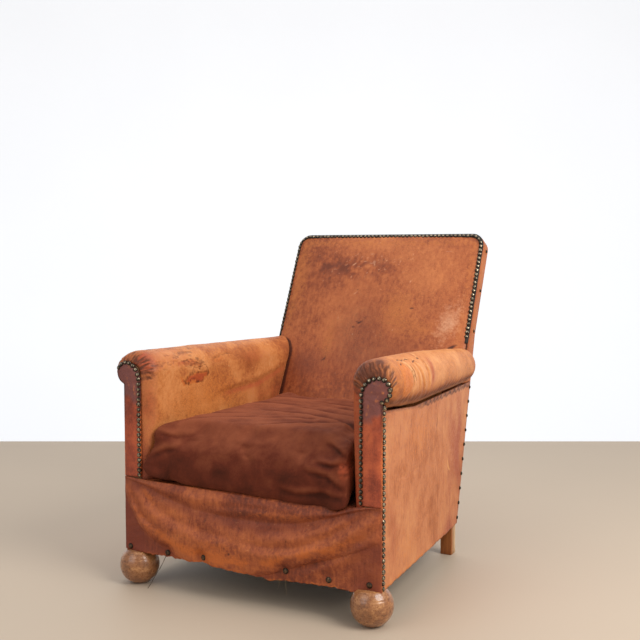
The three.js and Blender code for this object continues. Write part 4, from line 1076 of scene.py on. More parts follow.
def apronPiece():
    look, half = apronLook, chair["frontHalf"]
    u, t = np.meshgrid(np.linspace(-1, 1, look["columns"]), np.linspace(0, 1, look["rows"]))
    x = u * half
    lip, valley, low, hem = (follow(look[k], x) for k in ("lip", "valley", "low", "hem"))
    level = np.stack([x, 0 * x, 0 * x], -1)
    hem = hem + noiseAt(level, (13, 1, 1), 60, 3) * 2.4 + noiseAt(level, (4, 1, 1), 61, 1) * 0.9
    hem = hem - 5 * peak(x - 62, 14) - 3 * peak(x - 30, 8)
    z = mix(hem, lip, clamp01(t / look["frontShare"]))
    flat = np.stack([x, 0 * x, z], -1)
    towards = clamp01(1 - (np.abs(x) / half) ** 3)
    rise = (z - low) / np.maximum(valley - low, 12)
    belly = np.where((rise > -0.25) & (rise < 1.0), np.sin(np.pi * clamp01((rise + 0.25) / 1.25) ** 0.68), 0)
    deep = 2 + look["belly"] * towards ** 0.6 * np.maximum(belly, 0) ** 0.85
    over = clamp01((z - valley) / np.maximum(lip - valley, 6))
    deep += look["topSwell"] * towards ** 0.5 * np.sin(np.pi * over) ** 1.4 * (z > valley)
    for line, size, width in look["folds"]:
        ridge = stroke(x, z + 1.5 * width, line, width * 1.1)
        deep += size * 0.75 * ridge - size * stroke(x, z, line, width)
    deep += noiseAt(flat, (46, 1, 18), 62, 2) * 1.3 * smooth((z - 90) / 50)
    deep += noiseAt(flat, (9, 1, 16), 63, 2) * 0.5
    nailDent = sum(peak(x - nailX, 16) for nailX, _ in look["nails"])
    deep = deep * (1 - 0.96 * smooth((116 - z) / 24) * nailDent)
    hemSlack = peak(z - hem, 13) * (1 - nailDent) * (1.6 + noiseAt(level, (60, 1, 1), 64, 2) * 2.5)
    deep = np.maximum(deep + hemSlack, 0.4) * mix(0.25, 1, smooth((half - np.abs(x)) / 12))
    # the top turns over the seat rail and lies on the platform under the cushion
    turned = clamp01((t - look["frontShare"]) / (1 - look["frontShare"]))
    onTop, shoulder = turned > 0, np.abs(x) > look["shoulder"]
    y = -chair["gap"] - chair["skin"] - deep
    deck = chair["seatDeck"] + chair["gap"] + chair["skin"]
    overY = np.where(shoulder, np.minimum(y + 2.0 * turned, -0.7), mix(y, look["inside"], turned ** 1.3))
    overZ = np.where(shoulder, np.minimum(z, look["shoulderTop"]), mix(z, deck, smooth(turned * 3.2)))
    narrowed = np.where(onTop & ~shoulder, x * mix(1.0, 0.92, turned), x)
    marks = bare(x)
    # painted shade: the tone is lighter where the hide stands out and darker where it sinks back
    marks["tone"] += noiseAt(flat, (70, 1, 36), 65, 3) * 0.5 + 0.02 * (deep - 8)
    # painted shade over the upper zone, from the valley up to the lip
    marks["tone"] -= 0.3 * smooth((z - valley) / 10) * smooth((x + 270) / 60)
    crest = stroke(x, z - 6, look["low"], 13)
    marks["worn"] += 0.75 * crest * smooth(0.65 + noiseAt(flat, (30, 1, 14), 66, 2)) + 0.2 * peak(z - lip, 3)
    marks["worn"] += 0.7 * peak(z - hem, 5) * smooth(noiseAt(flat, (8, 1, 8), 67, 2) + 0.5)
    # painted shade in the valley
    marks["stainAndShade"] += 0.4 * peak(z - valley + 2, 16) * towards ** 0.5
    marks["stainAndShade"] += 0.3 * smooth((-250 - x) / 40) + 0.5 * smooth((x - 230) / 60) * smooth((220 - z) / 60)
    marks["stainAndShade"] += 0.5 * smooth((low - 12 - z) / 20) * (x < 60)
    marks["scarAndShade"] += 0.32 * smooth(noiseAt(flat, (7, 1, 11), 68, 3) * 2 - 0.35) * smooth((z - 80) / 30)
    # painted shade in the valley
    marks["scarAndShade"] += 0.12 * peak(z - valley, 9) * towards
    paint(marks, x, z, look["patches"])
    rng = np.random.default_rng(8)
    for i in range(look["specks"]):
        cx, cz = rng.uniform(-200, 120), rng.uniform(95, 190)
        path = [(cx, cz), (cx + rng.uniform(-4, 4), cz - rng.uniform(6, 20))]
        marks["scarAndShade"] += 0.4 * stroke(x, z, path, 1.5)
        cx, cz = rng.uniform(-280, 300), rng.uniform(90, 230)
        path = [(cx, cz), (cx + rng.uniform(-14, 14), cz + rng.uniform(-4, 4))]
        marks["scratchAndHighlight"] += 0.35 * stroke(x, z, path, 1.4)
    outer = np.stack([narrowed, np.where(onTop, overY, y), np.where(onTop, overZ, z)], -1)
    thin = np.where(turned[..., None] > 0.25, (0, 0, -1.0), (0, 1.0, 0)) * (chair["skin"] - 0.1)
    thin = np.where((onTop & shoulder)[..., None], (0, 0.3, -0.2), thin)
    return shellPiece("front_apron_hide", outer, outer + thin, hides["apron_leather"], marks)


apron = finishPiece(apronPiece(), ["front_apron"])
print("chair: apron made")

# loose seat cushion: a velvet box case, stuffed by a cloth simulation
cushionLook = {
    "foot": 250, "top": 378, "front": 4, "corner": 14, "edge": 12, "columns": 84, "voxel": 6.5,
    "pressure": 4.0, "most": 22, "frames": 20, "fill": 0.6, "halfWidth": 246, "face": 1, "crest": 391,
    "bed": 244.4, "boxedFoot": 76, "boxedFace": 66, "toe": 9, "ear": 16, "earLift": 15, "clear": 3.5,
}
# wrinkles: lines with their depth and width; valley and crest hold shares of width, depth and painted tone,
# painted shade in the valley and painted light on the crest
cushionFolds = {
    # they fan over the top from its right edge, with shorter pulls from the corners
    "top": {"valley": (1.2, 1.9, 0.85), "crest": (1.7, 1.7, 0.75), "apart": 2.2, "lines": [
        ([(215, 130), (120, 182), (20, 212), (-70, 218)], 2.4, 8),
        ([(225, 215), (130, 232), (40, 266), (-50, 300)], 2.6, 9),
        ([(222, 270), (150, 282), (60, 322)], 2.2, 8),
        ([(226, 318), (150, 340), (70, 354), (-20, 392)], 2.4, 8),
        ([(222, 372), (140, 402), (60, 420)], 2.2, 7),
        ([(224, 428), (130, 455), (40, 462), (-60, 455)], 2.4, 8),
        ([(224, 492), (150, 508), (80, 512)], 1.8, 7), ([(-190, 60), (-120, 110), (-60, 130)], 1.8, 8),
        ([(-205, 110), (-140, 150), (-95, 170)], 1.5, 7), ([(60, 90), (110, 130), (180, 150)], 1.8, 8),
        ([(-40, 130), (20, 158), (90, 160)], 1.6, 7), ([(-180, 300), (-110, 320), (-30, 318)], 1.6, 9),
        ([(-190, 420), (-120, 430), (-50, 424)], 1.6, 9), ([(0, 70), (50, 100), (120, 108)], 1.4, 6)]},
    "front": {"valley": (0.7, 1.4, 0.6), "crest": (1.0, 1.3, 0.6), "apart": -1.3, "lines": [
        ([(236, 262), (190, 268), (130, 262), (90, 266)], 2.0, 6),
        ([(236, 280), (200, 300), (150, 306)], 2.2, 7), ([(238, 330), (206, 322), (170, 326)], 2.0, 6),
        ([(238, 345), (214, 356), (180, 362)], 1.8, 6), ([(-236, 356), (-206, 346), (-160, 352)], 1.8, 7),
        ([(-250, 300), (-214, 318), (-180, 322)], 1.6, 8)]},
}


def cushionShape():
    # starts a little smaller than the finished cushion; front corners are squarer than the rear ones
    look = cushionLook
    rings = []
    edge = look["edge"]
    levels = [(look["foot"] + edge * (1 - math.sin(a)), edge * (1 - math.cos(a)))
              for a in np.linspace(math.pi / 2, 0, 6)]
    levels += [(z, 0) for z in np.linspace(look["foot"] + edge, look["top"] - edge, 14)[1:-1]]
    levels += [(look["top"] - edge * (1 - math.sin(a)), edge * (1 - math.cos(a)))
               for a in np.linspace(0, math.pi / 2, 6)]
    for z, inset in levels:
        front, rear = look["front"] + inset, backFace(0.0, z) - 8 - inset
        ring = []
        for side, y, start in ((1, front, -90), (1, rear, 0), (-1, rear, 90), (-1, front, 180)):
            r = look["corner"]
            half = seatHalf(y) - 8 - inset
            middleY = y + r if y == front else y - r
            for turn in np.radians(start + np.linspace(0, 90, 7)):
                ring.append((side * (half - r) + r * math.cos(turn), middleY + r * math.sin(turn), z))
        ring = evenly(ring + ring[:1], 2000 / 88)[:-1]
        missing = max(look["columns"] - len(ring), 0)
        rings.append(np.concatenate([ring[:look["columns"]], ring[-1:].repeat(missing, 0)]))
    rings = np.array(rings)
    rows, columns = rings.shape[:2]
    faces = gridQuads(rows, columns, wrap=True)
    faces += [list(range(columns))[::-1], [(rows - 1) * columns + j for j in range(columns)]]
    return meshPiece("seat_cushion_velvet", rings.reshape(-1, 3), faces, velvet)


def coordsOf(mesh):
    flat = np.zeros(len(mesh.vertices) * 3, np.float32)
    mesh.vertices.foreach_get("co", flat)
    return flat.reshape(-1, 3).astype(float)


def setCoords(mesh, coords):
    mesh.vertices.foreach_set("co", np.asarray(coords, np.float32).ravel())
    mesh.update()


def stuff(obj, look):
    before = coordsOf(obj.data)
    cloth = obj.modifiers.new("stuffing", "CLOTH")
    cloth.settings.use_pressure = True
    cloth.settings.uniform_pressure_force = look["pressure"]
    cloth.settings.quality = 4
    cloth.settings.effector_weights.gravity = 0
    cloth.settings.tension_stiffness = 8
    cloth.settings.compression_stiffness = 8
    cloth.settings.bending_stiffness = 0.3
    cloth.point_cache.frame_start, cloth.point_cache.frame_end = 1, look["frames"]
    for step in range(1, look["frames"] + 1):
        scene.frame_set(step)
    applied(obj)
    scene.frame_set(1)
    after = coordsOf(obj.data)
    moved = after - before
    length = np.linalg.norm(moved, axis=1, keepdims=True)
    setCoords(obj.data, before + moved * np.minimum(1, look["most"] / 1000 / np.maximum(length, 1e-9)))


def normalsOf(mesh):
    flat = np.zeros(len(mesh.vertices) * 3, np.float32)
    mesh.vertices.foreach_get("normal", flat)
    return flat.reshape(-1, 3).astype(float)


def squareOff(p, axes, centre, way, power):
    # pushes the rounded corner beyond a centre out towards a square one
    a, b = ((p[:, k] - c) * w for k, c, w in zip(axes, centre, way))
    inside = (a > 0) & (b > 0)
    a, b = a[inside], b[inside]
    reach = np.hypot(a, b)
    grow = ((a / reach) ** power + (b / reach) ** power) ** (-1 / power)
    for k, c, w, d in zip(axes, centre, way, (a, b)):
        p[inside, k] = c + w * d * grow


def squaredCase(p):
    # stuffing draws the case in, so it is eased out again to the room between the arms
    look = cushionLook
    half, face, crest, bed = look["halfWidth"], look["face"], look["crest"], look["bed"]
    rear = p[:, 1].max()
    for axis, low, high in ((0, -half, half - 4), (1, face, rear), (2, bed, crest)):
        least, most = p[:, axis].min(), p[:, axis].max()
        p[:, axis] = low + (p[:, axis] - least) * (high - low) / (most - least)
    # the case is boxed: its lower front edge and front corners are square, its top edge is crowned
    near = clamp01((p[:, 2] - bed) / look["boxedFoot"])
    p[:, 2] = np.where(near < 1, bed + look["boxedFoot"] * near ** 2.3, p[:, 2])
    near = clamp01((p[:, 1] - face) / look["boxedFace"])
    boxed = np.where(near < 1, face + look["boxedFace"] * near ** 1.8, p[:, 1])
    p[:, 1] = mix(p[:, 1], boxed, smooth((345 - p[:, 2]) / 60))
    squareOff(p, (1, 2), (face + 36, 280), (-1, -1), 6)
    squareOff(p, (1, 2), (rear - 60, crest - 60), (1, 1), 6)
    for side in (-1, 1):
        squareOff(p, (0, 1), (side * (half - 52), face + 52), (side, -1), 8)
        squareOff(p, (0, 2), (side * (half - 55), crest - 55), (side, 1), 7)
    droop = 11 * peak(p[:, 1] - 8, 40) + 6 * peak(p[:, 1] - 8, 130)
    p[:, 2] -= droop * smooth((p[:, 2] - 300) / 80)
    # its lower front edge bulges over the apron, and the left corner spreads and lifts
    foot = peak(p[:, 2] - 272, 36)
    p[:, 1] -= look["toe"] * foot * smooth((60 - p[:, 1]) / 50) * (1 - 0.6 * smooth((p[:, 0] - 190) / 50))
    p[:, 0] -= look["ear"] * foot * smooth((-p[:, 0] - 120) / 110) * smooth((60 - p[:, 1]) / 50)
    lift = smooth((-p[:, 0] - 150) / 110) * smooth((70 - p[:, 1]) / 60) * smooth((300 - p[:, 2]) / 50)
    p[:, 2] += look["earLift"] * lift
    return p


def wrinkles(across, along, where, folds):
    # each wrinkle is a valley with a crest beside it; gives how far they stand out and their painted shading,
    # paler on the crest and darker in the valley
    high, paintedShading = 0, 0
    for line, size, width in folds["lines"]:
        for mark, way, away in (("crest", 1, width * folds["apart"]), ("valley", -1, 0)):
            wide, deep, tone = folds[mark]
            amount = way * stroke(across, along + away, line, width * wide) * where
            high = high + size * deep * amount
            paintedShading = paintedShading + tone * amount
    return high, paintedShading


def restingCase(p):
    # it rests flat on the platform, and stays off the arms and the back
    look, arm, bed = cushionLook, armLook, cushionLook["bed"]
    lip = mix(bed, follow(apronLook["lip"], p[:, 0]) + 2.5, clamp01((10 - p[:, 1]) / 11))
    p[:, 2] -= (bed - lip) * peak(p[:, 2] - 244, 26)
    p[:, 2] = np.maximum(p[:, 2], lip)
    ease = np.sqrt(1 - (1 - clamp01(p[:, 1] / arm["round"])) ** 2)
    armFace = mix(chair["seatFront"], chair["seatRear"], clamp01(p[:, 1] / arm["length"]))
    armFace = armFace + chair["armFlare"] * clamp01((490 - p[:, 2]) / 290) ** 1.2
    room = mix(arm["headX"] - arm["headRadius"], armFace, ease) - look["clear"]
    p[:, 0] = np.clip(p[:, 0], -room, room)
    p[:, 1] = np.minimum(p[:, 1], backFace(p[:, 0], p[:, 2]) - 3)
    return p


def cushionPiece():
    look = cushionLook
    cushion = cushionShape()
    remesh = cushion.modifiers.new("even", "REMESH")
    remesh.mode = "VOXEL"
    remesh.voxel_size = look["voxel"] / 1000
    applied(cushion)
    stuff(cushion, look)
    soften = cushion.modifiers.new("soften", "SMOOTH")
    soften.factor, soften.iterations = 0.5, 3
    finer = cushion.modifiers.new("finer", "SUBSURF")
    finer.levels = finer.render_levels = 1
    applied(cushion)
    mesh = cushion.data
    p = squaredCase(coordsOf(mesh) * 1000 - (0, frontPlane, 0))
    setCoords(mesh, (p + (0, frontPlane, 0)) / 1000)
    n = normalsOf(mesh)
    x, y, z = p.T
    up, out = smooth((n[:, 2] - 0.35) / 0.5), smooth((-n[:, 1] - 0.35) / 0.5)
    onTop, paintedTopShading = wrinkles(x, y + noiseAt(p, 45, 72) * 5, up, cushionFolds["top"])
    onFront, paintedFrontShading = wrinkles(x, z, out, cushionFolds["front"])
    deep = noiseAt(p, (120, 90, 60), 70, 2) * 2.0 + noiseAt(p, (36, 26, 30), 71, 2) * 0.7 + onTop + onFront
    tone = paintedTopShading + paintedFrontShading
    # case seams stand out up the front corners
    border = smooth((0.5 - np.abs(n[:, 2])) / 0.3)
    corner = peak(np.abs(n[:, 0]) - np.abs(n[:, 1]), 0.10) * border * (y < 80)
    deep += 1.8 * corner
    # paler along the corner seams; lighter on the top, painted light, and darker low on the front, painted
    # shade
    tone += 0.45 * corner + 0.3 * up - 0.2 * out * smooth((330 - z) / 60)
    tone += 0.35 * blot(x, y, (-130, 120), (90, 60)) * up + noiseAt(p, (60, 40, 40), 73, 3) * 0.35
    # torn nub of velvet at the right front corner
    nub = peak(x - 236, 13) * peak(z - 318, 16) * (y < 60)
    deep += nub * (4 + 5 * noiseAt(p, 7, 74, 2))
    torn = clamp01(nub * 1.3 * (0.6 + noiseAt(p, 5, 75, 2)))
    p = restingCase(p + n * deep[:, None])
    setCoords(mesh, (p + (0, frontPlane, 0)) / 1000)
    for mark, values in (("tone", tone), ("scratchAndHighlight", torn)):
        layer = mesh.attributes.new(mark, "FLOAT", "POINT")
        layer.data.foreach_set("value", values.astype(np.float32))
    mesh.materials.clear()
    mesh.materials.append(velvet)
    for face in mesh.polygons:
        face.use_smooth = True
    return cushion


cushion = finishPiece(cushionPiece(), ["seat_cushion"])
print("chair: cushion made")

# platform cloth under the cushion and bottoming cloth under the seat
clothLook = {"platform": (60, 498), "bottoming": (31, 533), "sag": 3, "thin": 1}
u, t = np.meshgrid(np.linspace(-1, 1, 60), np.linspace(0, 1, 60))
y = mix(*clothLook["platform"], t)
x = u * seatHalf(y)
low = chair["seatDeck"] - 0.2 + noiseAt(np.stack([x, y, 0 * x], -1), 60, 95, 2) * 0.5 - 0.6
upper, lower = np.stack([x, y, low + 0.6], -1), np.stack([x, y, low - 1.2], -1)
platform = shellPiece("platform_cloth", upper, lower, hessian)
finishPiece(platform, ["seat_platform_cover"])
y = mix(*clothLook["bottoming"], t)
x = u * (sideX(y, chair["skirtFoot"]) - chair["skin"] - 8)
bay = np.cos(u * np.pi / 2) * np.sin(np.pi * t)
low = chair["skirtFoot"] + 0.6 - clothLook["sag"] * bay
low = low + noiseAt(np.stack([x, y, 0 * x], -1), (50, 70, 1), 96, 2) * 0.6 * (bay > 0.02)
lower, upper = np.stack([x, y, low], -1), np.stack([x, y, low + clothLook["thin"]], -1)
bottoming = shellPiece("bottoming_cloth", lower, upper, blackCloth)
finishPiece(bottoming, ["dust_cover"])


# feet
ballLook = {"radius": 45.3, "flat": 14, "top": 77.5, "x": 297, "y": 12, "pin": 6.5, "pinTop": 104}


def ballPiece(name, side):
    look = ballLook
    radius, flat, top = look["radius"], look["flat"], look["top"]
    centre = math.sqrt(radius ** 2 - flat ** 2)
    turns = np.linspace(-math.acos(flat / radius), math.asin((top - centre) / radius), 60)
    profile = [(0.0, 0.0), (flat * 0.6, 0.0)]
    profile += [(radius * math.cos(a), centre + radius * math.sin(a)) for a in turns]
    profile += [(look["pin"], top), (look["pin"], look["pinTop"]), (0.0, look["pinTop"])]
    around = np.linspace(0, 2 * math.pi, 96, endpoint=False)[None, :]
    r, z = np.array(profile).T[..., None]
    grid = np.stack([r * np.cos(around), r * np.sin(around), z + 0 * around], -1)
    # small flats, dents and a turning groove
    wear = noiseAt(grid, 16, 100 + side, 3) * 0.5 + noiseAt(grid, 5, 101 + side, 2) * 0.18
    wear = (wear - 0.5 * peak(z - 62, 0.9)) * (r > 20) * (z > 4)
    grid[..., :2] *= (1 + wear / np.maximum(r, 1))[..., None]
    points = grid.reshape(-1, 3) + (side * look["x"], look["y"], 0)
    return meshPiece(name, points, gridQuads(*grid.shape[:2], wrap=True), ballWood)


legLook = {"inner": 249, "outer": 279, "deep": 28, "round": 1.6, "top": 766, "arc": 4}


def legPiece(name, side):
    look, skirt, top = legLook, chair["skirtFoot"], legLook["top"]
    inner, outer, b = look["inner"], look["outer"], look["round"]
    points = []
    for z in np.r_[0, 0.6, 2.0, np.arange(12, skirt, 10), np.arange(skirt, top, 22), top]:
        rear = panelRear(z)
        front = rear - look["deep"]
        trim = max(0, 2.0 - z) * 0.8
        for cx, cy, start in ((outer - b, front + b, -90), (outer - b, rear - b, 0),
                              (inner + b, rear - b, 90), (inner + b, front + b, 180)):
            for turn in np.radians(start + np.linspace(0, 90, look["arc"])):
                points.append((cx + (b - trim) * math.cos(turn), cy + (b - trim) * math.sin(turn), z))
    points = np.array(points)
    worn = noiseAt(points, (9, 9, 30), 110 + side, 2) * 0.35
    points[:, 0] += worn * (points[:, 2] < skirt - 1)
    # the front face is darker, a stain with painted shade in it; the other faces stay pale
    stainedAndShaded = smooth((points[:, 1] * -1 + rearY(points[:, 2]) - 26) / 4)
    points[:, 0] *= side
    columns = 4 * look["arc"]
    rows = len(points) // columns
    faces = gridQuads(rows, columns, wrap=True)
    faces += [list(range(columns)), [(rows - 1) * columns + j for j in range(columns)][::-1]]
    return meshPiece(name, points, faces, legWood, {"stainAndShade": stainedAndShaded})


for name, side in sides:
    finishPiece(ballPiece("ball_" + name, side), ["ball_foot_" + name])
    finishPiece(legPiece("square_leg_" + name, side), ["rear_leg_" + name])
print("chair: feet made")

# nails: one dome tree, instanced on points that know which way they face
nailLook = {
    "close": {"radius": 5.5, "height": 3.2, "pitch": 11.7, "tilt": 0.14},
    "spaced": {"radius": 4.6, "height": 3.2, "pitch": 39.0, "tilt": 0.12},
    "apron": {"radius": 7.0, "height": 3.4, "tilt": 0.10, "metal": dullBrass},
    "seed": 5, "step": 4.0, "borderPitch": 92,
    # where the row on each facing stands, and how far it faces sideways
    "rows": {1: (277.5, -0.55), -1: (283.0, -0.1)},
}


def nailTree():
    tree = bpy.data.node_groups.new("dome_nails", "GeometryNodeTree")
    face = tree.interface
    face.new_socket("Geometry", in_out="INPUT", socket_type="NodeSocketGeometry")
    sockets = {}
    inputs = {"Radius": "NodeSocketFloat", "Height": "NodeSocketFloat", "Tilt": "NodeSocketFloat",
              "Seed": "NodeSocketInt", "Metal": "NodeSocketMaterial"}
    for label, kind in inputs.items():
        sockets[label] = face.new_socket(label, in_out="INPUT", socket_type=kind).identifier
    face.new_socket("Geometry", in_out="OUTPUT", socket_type="NodeSocketGeometry")
    given = tree.nodes.new("NodeGroupInput")
    ball = addNode(tree, "GeometryNodeMeshUVSphere", {"Segments": 12, "Rings": 7, "Radius": 1.0})
    place = addNode(tree, "GeometryNodeInputPosition")
    height = addNode(tree, "ShaderNodeSeparateXYZ", {0: place.outputs["Position"]})
    # each dome stores its height, so that the brass is lighter on top: rubbed brass with a painted highlight
    marked = addNode(tree, "GeometryNodeStoreNamedAttribute", {
        "Geometry": ball.outputs["Mesh"], "Name": "crownRubAndHighlight", "Value": height.outputs["Z"]},
        data_type="FLOAT", domain="POINT")
    size = addNode(tree, "ShaderNodeCombineXYZ", {
        0: given.outputs["Radius"], 1: given.outputs["Radius"], 2: given.outputs["Height"]})
    dome = addNode(tree, "GeometryNodeTransform", {
        "Geometry": marked.outputs["Geometry"], "Scale": size.outputs["Vector"]})
    facing = addNode(tree, "GeometryNodeInputNamedAttribute", {"Name": "facing"}, data_type="FLOAT_VECTOR")
    least = addNode(tree, "ShaderNodeMath", {0: given.outputs["Tilt"], 1: -1.0}, operation="MULTIPLY")
    lean3 = addNode(tree, "FunctionNodeRandomValue", {
        "Min": least.outputs[0], "Max": given.outputs["Tilt"], "Seed": given.outputs["Seed"]},
        data_type="FLOAT_VECTOR")
    leaning = addNode(tree, "ShaderNodeVectorMath", {0: facing.outputs["Attribute"], 1: lean3.outputs[0]},
                      operation="ADD")
    turned = addNode(tree, "FunctionNodeAlignRotationToVector", {"Vector": leaning.outputs[0]}, axis="Z")
    scale = addNode(tree, "FunctionNodeRandomValue", {2: 0.93, 3: 1.04, "Seed": given.outputs["Seed"]},
                    data_type="FLOAT")
    heads = addNode(tree, "GeometryNodeInstanceOnPoints", {
        "Points": given.outputs["Geometry"], "Instance": dome.outputs["Geometry"],
        "Rotation": turned.outputs["Rotation"], "Scale": scale.outputs[1]})
    real = addNode(tree, "GeometryNodeRealizeInstances", {"Geometry": heads.outputs["Instances"]})
    smoothed = addNode(tree, "GeometryNodeSetShadeSmooth", {"Geometry": real.outputs["Geometry"]})
    done = addNode(tree, "GeometryNodeSetMaterial", {
        "Geometry": smoothed.outputs["Geometry"], "Material": given.outputs["Metal"]})
    addNode(tree, "NodeGroupOutput", {"Geometry": done.outputs["Geometry"]})
    return tree, sockets


domeTree, domeSockets = nailTree()


def nailPiece(name, spots, look, replaced=()):
    # spots hold x, y, z in mm and the direction that each nail faces
    spots = np.asarray(spots, float)
    mesh = bpy.data.meshes.new(name)
    mesh.from_pydata(((spots[:, :3] + (0, frontPlane, 0)) / 1000).tolist(), [], [])
    way = spots[:, 3:] / np.linalg.norm(spots[:, 3:], axis=1, keepdims=True)
    layer = mesh.attributes.new("facing", "FLOAT_VECTOR", "POINT")
    layer.data.foreach_set("vector", way.astype(np.float32).ravel())
    obj = bpy.data.objects.new(name, mesh)
    modifier = obj.modifiers.new("nails", "NODES")
    modifier.node_group = domeTree
    modifier[domeSockets["Radius"]] = look["radius"] / 1000
    modifier[domeSockets["Height"]] = look["height"] / 1000
    modifier[domeSockets["Tilt"]] = look["tilt"]
    modifier[domeSockets["Seed"]] = nailLook["seed"]
    modifier[domeSockets["Metal"]] = look.get("metal", nailBrass)
    scene.collection.objects.link(obj)
    applied(obj)
    return finishPiece(obj, replaced)


def facingNails(side):
    arm, pitch, step = armLook, nailLook["close"]["pitch"], nailLook["step"]
    cx, cz, r, shoulder = arm["headX"], arm["headZ"], arm["headRadius"], arm["headShoulder"]
    plane = -chair["gap"] - chair["skin"] - 1.4
    row, tilt = nailLook["rows"][side]
    spots = [(row, plane + 0.8 * (side > 0), z, tilt, -1, 0) for z in np.arange(256, shoulder, step)]
    for turn in np.linspace(math.pi, math.pi / 2, 24)[:-1]:
        c, s = math.cos(turn), math.sin(turn)
        z = shoulder + (cz + r - 1 - shoulder) * s
        spots.append((cx + (cx - row) * c, plane + 0.6, z, 0.5 * c, -1, 0.45 * s))
    undercut = -math.acos((chair["frontHalf"] - cx) / r)
    for turn in np.linspace(math.pi / 2, undercut if side > 0 else 0.5, 24):
        c, s = math.cos(turn), math.sin(turn)
        spots.append((cx + (r - 1) * c, plane + 0.8, cz + (r - 1) * s, 0.45 * c, -1, 0.45 * s))
    edge = [(sideX(5.0, z) + 0.6, 4.6, z, 1, -0.42, 0) for z in np.arange(454, 79, -step)]
    spots = np.concatenate([evenly(spots, pitch), evenly(edge, pitch)])
    spots[:, 2] += noiseAt(spots[:, :3] + side * 900, 8, 120) * 0.7
    return spots * (side, 1, 1, side, 1, 1)


def backNails():
    x, z, nx, nz = backEdge(3.2, foot=548.0).T
    tilt = 0.42
    facing = (nx * tilt, 0 * x - math.cos(lean), math.sin(lean) + nz * tilt)
    spots = evenly(np.stack([x, backY(z) - 1.5, z, *facing], -1), nailLook["close"]["pitch"])
    spots[:, 0] += noiseAt(spots[:, :3], 9, 121) * 0.5
    return spots


def rearNails(side):
    step = nailLook["step"]
    edge = [(sideX(rearY(z) - 7, z) + 0.6, rearY(z) - 7.5, z, 1, 0.2, 0) for z in np.arange(92, 420, step)]
    border = [(chair["backHalf"] + 4.4, backY(z) + 29, z, 1, 0.1, 0) for z in np.arange(560, 770, step)]
    edge, border = evenly(edge, nailLook["spaced"]["pitch"]), evenly(border, nailLook["borderPitch"])
    return np.concatenate([edge, border]) * (side, 1, 1, side, 1, 1)


for name, side in sides:
    nailPiece("close_nails_" + name, facingNails(side), nailLook["close"], ["arm_nail_row_" + name])
    nailPiece("rear_nails_" + name, rearNails(side), nailLook["spaced"])
nailPiece("back_nails", backNails(), nailLook["close"], ["back_nail_row"])
apronNails = [(x, -3.4, z, 0, -1, 0) for x, z in apronLook["nails"]]
nailPiece("apron_nails", apronNails, nailLook["apron"], ["apron_nail_%d" % (i + 1) for i in range(6)])
print("chair: nails made")


# dark tape under the back's nails
tapeLook = {"halfWidth": 5.2, "thick": 1.1, "ridge": 3.4}


def tapePiece():
    look = tapeLook
    x, z, nx, nz = (part[:, None] for part in backEdge(3.0, foot=531.0).T)
    across = np.linspace(-1, 1, 7)[None, :]
    x, z = x + nx * across * look["halfWidth"], z + nz * across * look["halfWidth"]
    top = backY(z) - look["thick"] * (1 - across ** 4) - 0.9 + smooth(across * 1.6 - 0.7) * look["ridge"]
    outer = np.stack([x, top, z], -1)
    inner = np.stack([x, top + 1.0 + 0.2 * across ** 2, z], -1)
    return shellPiece("nail_tape", outer, inner, blackCloth)


finishPiece(tapePiece())


# loose thread from an apron nail, and frayed fibres along the hem
threadLook = {
    "diameter": 0.0013,
    "path": [(-205, -7.6, 84), (-207, -11, 76), (-212, -13, 64), (-219, -14, 51), (-228, -15, 38),
             (-236, -17, 24), (-243, -19, 11), (-249, -22, 1.2)],
}
path = [(Vector(p) + Vector((0, frontPlane, 0))) / 1000 for p in threadLook["path"]]
curve = bpy.data.curves.new("loose_thread", "CURVE")
curve.dimensions = "3D"
curve.bevel_depth = threadLook["diameter"] / 2
curve.bevel_resolution = 2
line = curve.splines.new("POLY")
line.points.add(len(path) - 1)
for point, p in zip(line.points, path):
    point.co = (*p, 1)
curve.materials.append(waxedTwine)
thread = bpy.data.objects.new("loose_thread", curve)
scene.collection.objects.link(thread)
finishPiece(thread)


fibreLook = {"steps": 7, "thick": 0.28, "short": 26, "long": [(102, -4, 68, 4, 34), (88, -4, 66, -5, 22)]}


def fibrePiece():
    look, steps = fibreLook, fibreLook["steps"]
    rng = np.random.default_rng(3)
    points, faces = [], []
    spots = list(look["long"])
    for i in range(look["short"]):
        spots.append((rng.uniform(-20, 90), -4, 68, rng.uniform(-6, 6), rng.uniform(4, 9)))
    for x, y, z, drift, length in spots:
        for k in range(steps):
            t = k / (steps - 1)
            px, py, pz = x + drift * t ** 1.6, y - 1.5 * t, z + 2 - length * t
            r = look["thick"] * (1 - 0.6 * t)
            base = len(points)
            points += [(px + r * math.cos(a), py + r * math.sin(a), pz) for a in (0, 2.094, 4.189)]
            if k:
                for j in range(3):
                    a, b = base - 3 + j, base - 3 + (j + 1) % 3
                    faces.append([a, b, b + 3, a + 3])
        first = base - 3 * (steps - 1)
        faces += [[base, base + 1, base + 2], [first + 2, first + 1, first]]
    return meshPiece("apron_fibres", points, faces, jute)


fibres = finishPiece(fibrePiece())
print("chair: thread and fibres made")

# floor, wall and soft studio light
studio = {"floor": "#B9A894", "wall": "#F8FAFE", "floorFar": 4.0, "wallFar": 7.5,
          "wallGlow": 0.45, "sky": "#FFFFFF", "skyStrength": 0.42}


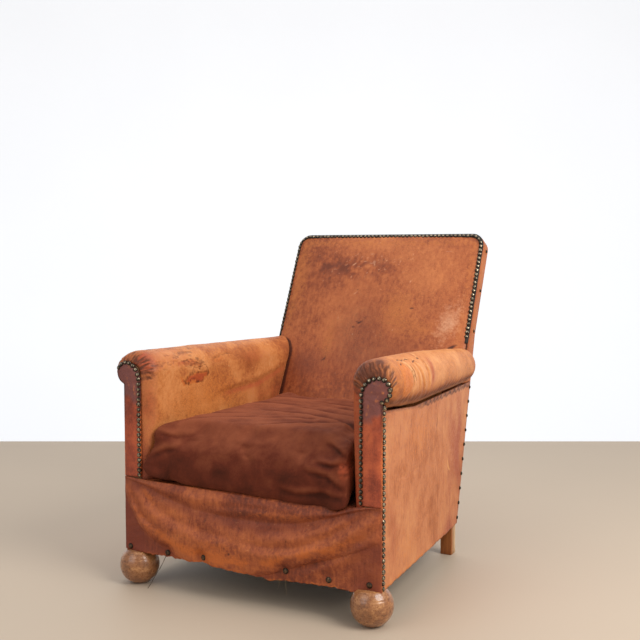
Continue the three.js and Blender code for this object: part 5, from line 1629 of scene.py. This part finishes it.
def plainMaterial(name, hexText, rough, glow=0.0):
    material, tree, place = newMaterial(name)
    mottle = addNode(tree, "ShaderNodeTexNoise", {"Vector": place, "Scale": 1.4, "Detail": 3.0})
    shade = addNode(tree, "ShaderNodeMapRange", {
        "Value": mottle.outputs["Fac"], "To Min": 0.97, "To Max": 1.03})
    colour = addNode(tree, "ShaderNodeMix", {0: 1.0, 6: linear(hexText), 7: shade.outputs["Result"]},
                     data_type="RGBA", blend_type="MULTIPLY")
    shader = addNode(tree, "ShaderNodeBsdfPrincipled", {
        "Base Color": colour.outputs[2], "Roughness": rough, "Emission Color": linear(hexText),
        "Emission Strength": glow})
    closeMaterial(tree, shader)
    return material


def stagePlane(name, corners, material):
    mesh = bpy.data.meshes.new(name)
    mesh.from_pydata([tuple(c) for c in corners], [], [(0, 1, 2, 3)])
    mesh.materials.append(material)
    obj = bpy.data.objects.new(name, mesh)
    scene.collection.objects.link(obj)
    obj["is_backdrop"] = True


viewTurn = math.radians(cameraLook["turn"])
viewWay = Vector((-math.sin(viewTurn), math.cos(viewTurn), 0))
sideWay = Vector((viewWay.y, -viewWay.x, 0))
start = Vector((*cameraLook["place"][:2], 0))
# the wall stands well behind the floor's far edge, so that a camera fits between it and the chair
near, far, wall = (start + viewWay * d for d in (-4, studio["floorFar"], studio["wallFar"]))
wide, foot, top = sideWay * 9, Vector((0, 0, -2)), Vector((0, 0, 6))
stagePlane("floor", [near - wide, near + wide, far + wide, far - wide],
           plainMaterial("pale_floor", studio["floor"], 0.6))
stagePlane("wall", [wall - wide + foot, wall + wide + foot, wall + wide + top, wall - wide + top],
           plainMaterial("white_wall", studio["wall"], 0.8, studio["wallGlow"]))

lamps = {
    "key": {"place": (2.6, -0.7, 2.3), "size": 1.8, "power": 91, "colour": "#FFFCF8"},
    "front": {"place": (-1.4, -3.4, 2.4), "size": 2.6, "power": 37, "colour": "#FFFFFF"},
    "top": {"place": (-0.2, 0.4, 3.2), "size": 3.0, "power": 40, "colour": "#FFFFFF"},
}
for name, lamp in lamps.items():
    data = bpy.data.lights.new(name, "AREA")
    data.size = lamp["size"]
    data.energy = lamp["power"]
    data.color = linear(lamp["colour"])[:3]
    obj = bpy.data.objects.new(name, data)
    obj.location = lamp["place"]
    obj.rotation_euler = (Vector((0, 0, 0.4)) - Vector(lamp["place"])).to_track_quat("-Z", "Y").to_euler()
    scene.collection.objects.link(obj)
world = bpy.data.worlds.new("studio")
world.use_nodes = True
background = world.node_tree.nodes["Background"]
background.inputs["Color"].default_value = linear(studio["sky"])
background.inputs["Strength"].default_value = studio["skyStrength"]
scene.world = world
scene.view_settings.view_transform = "Standard"
print("chair: studio made")

low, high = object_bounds()
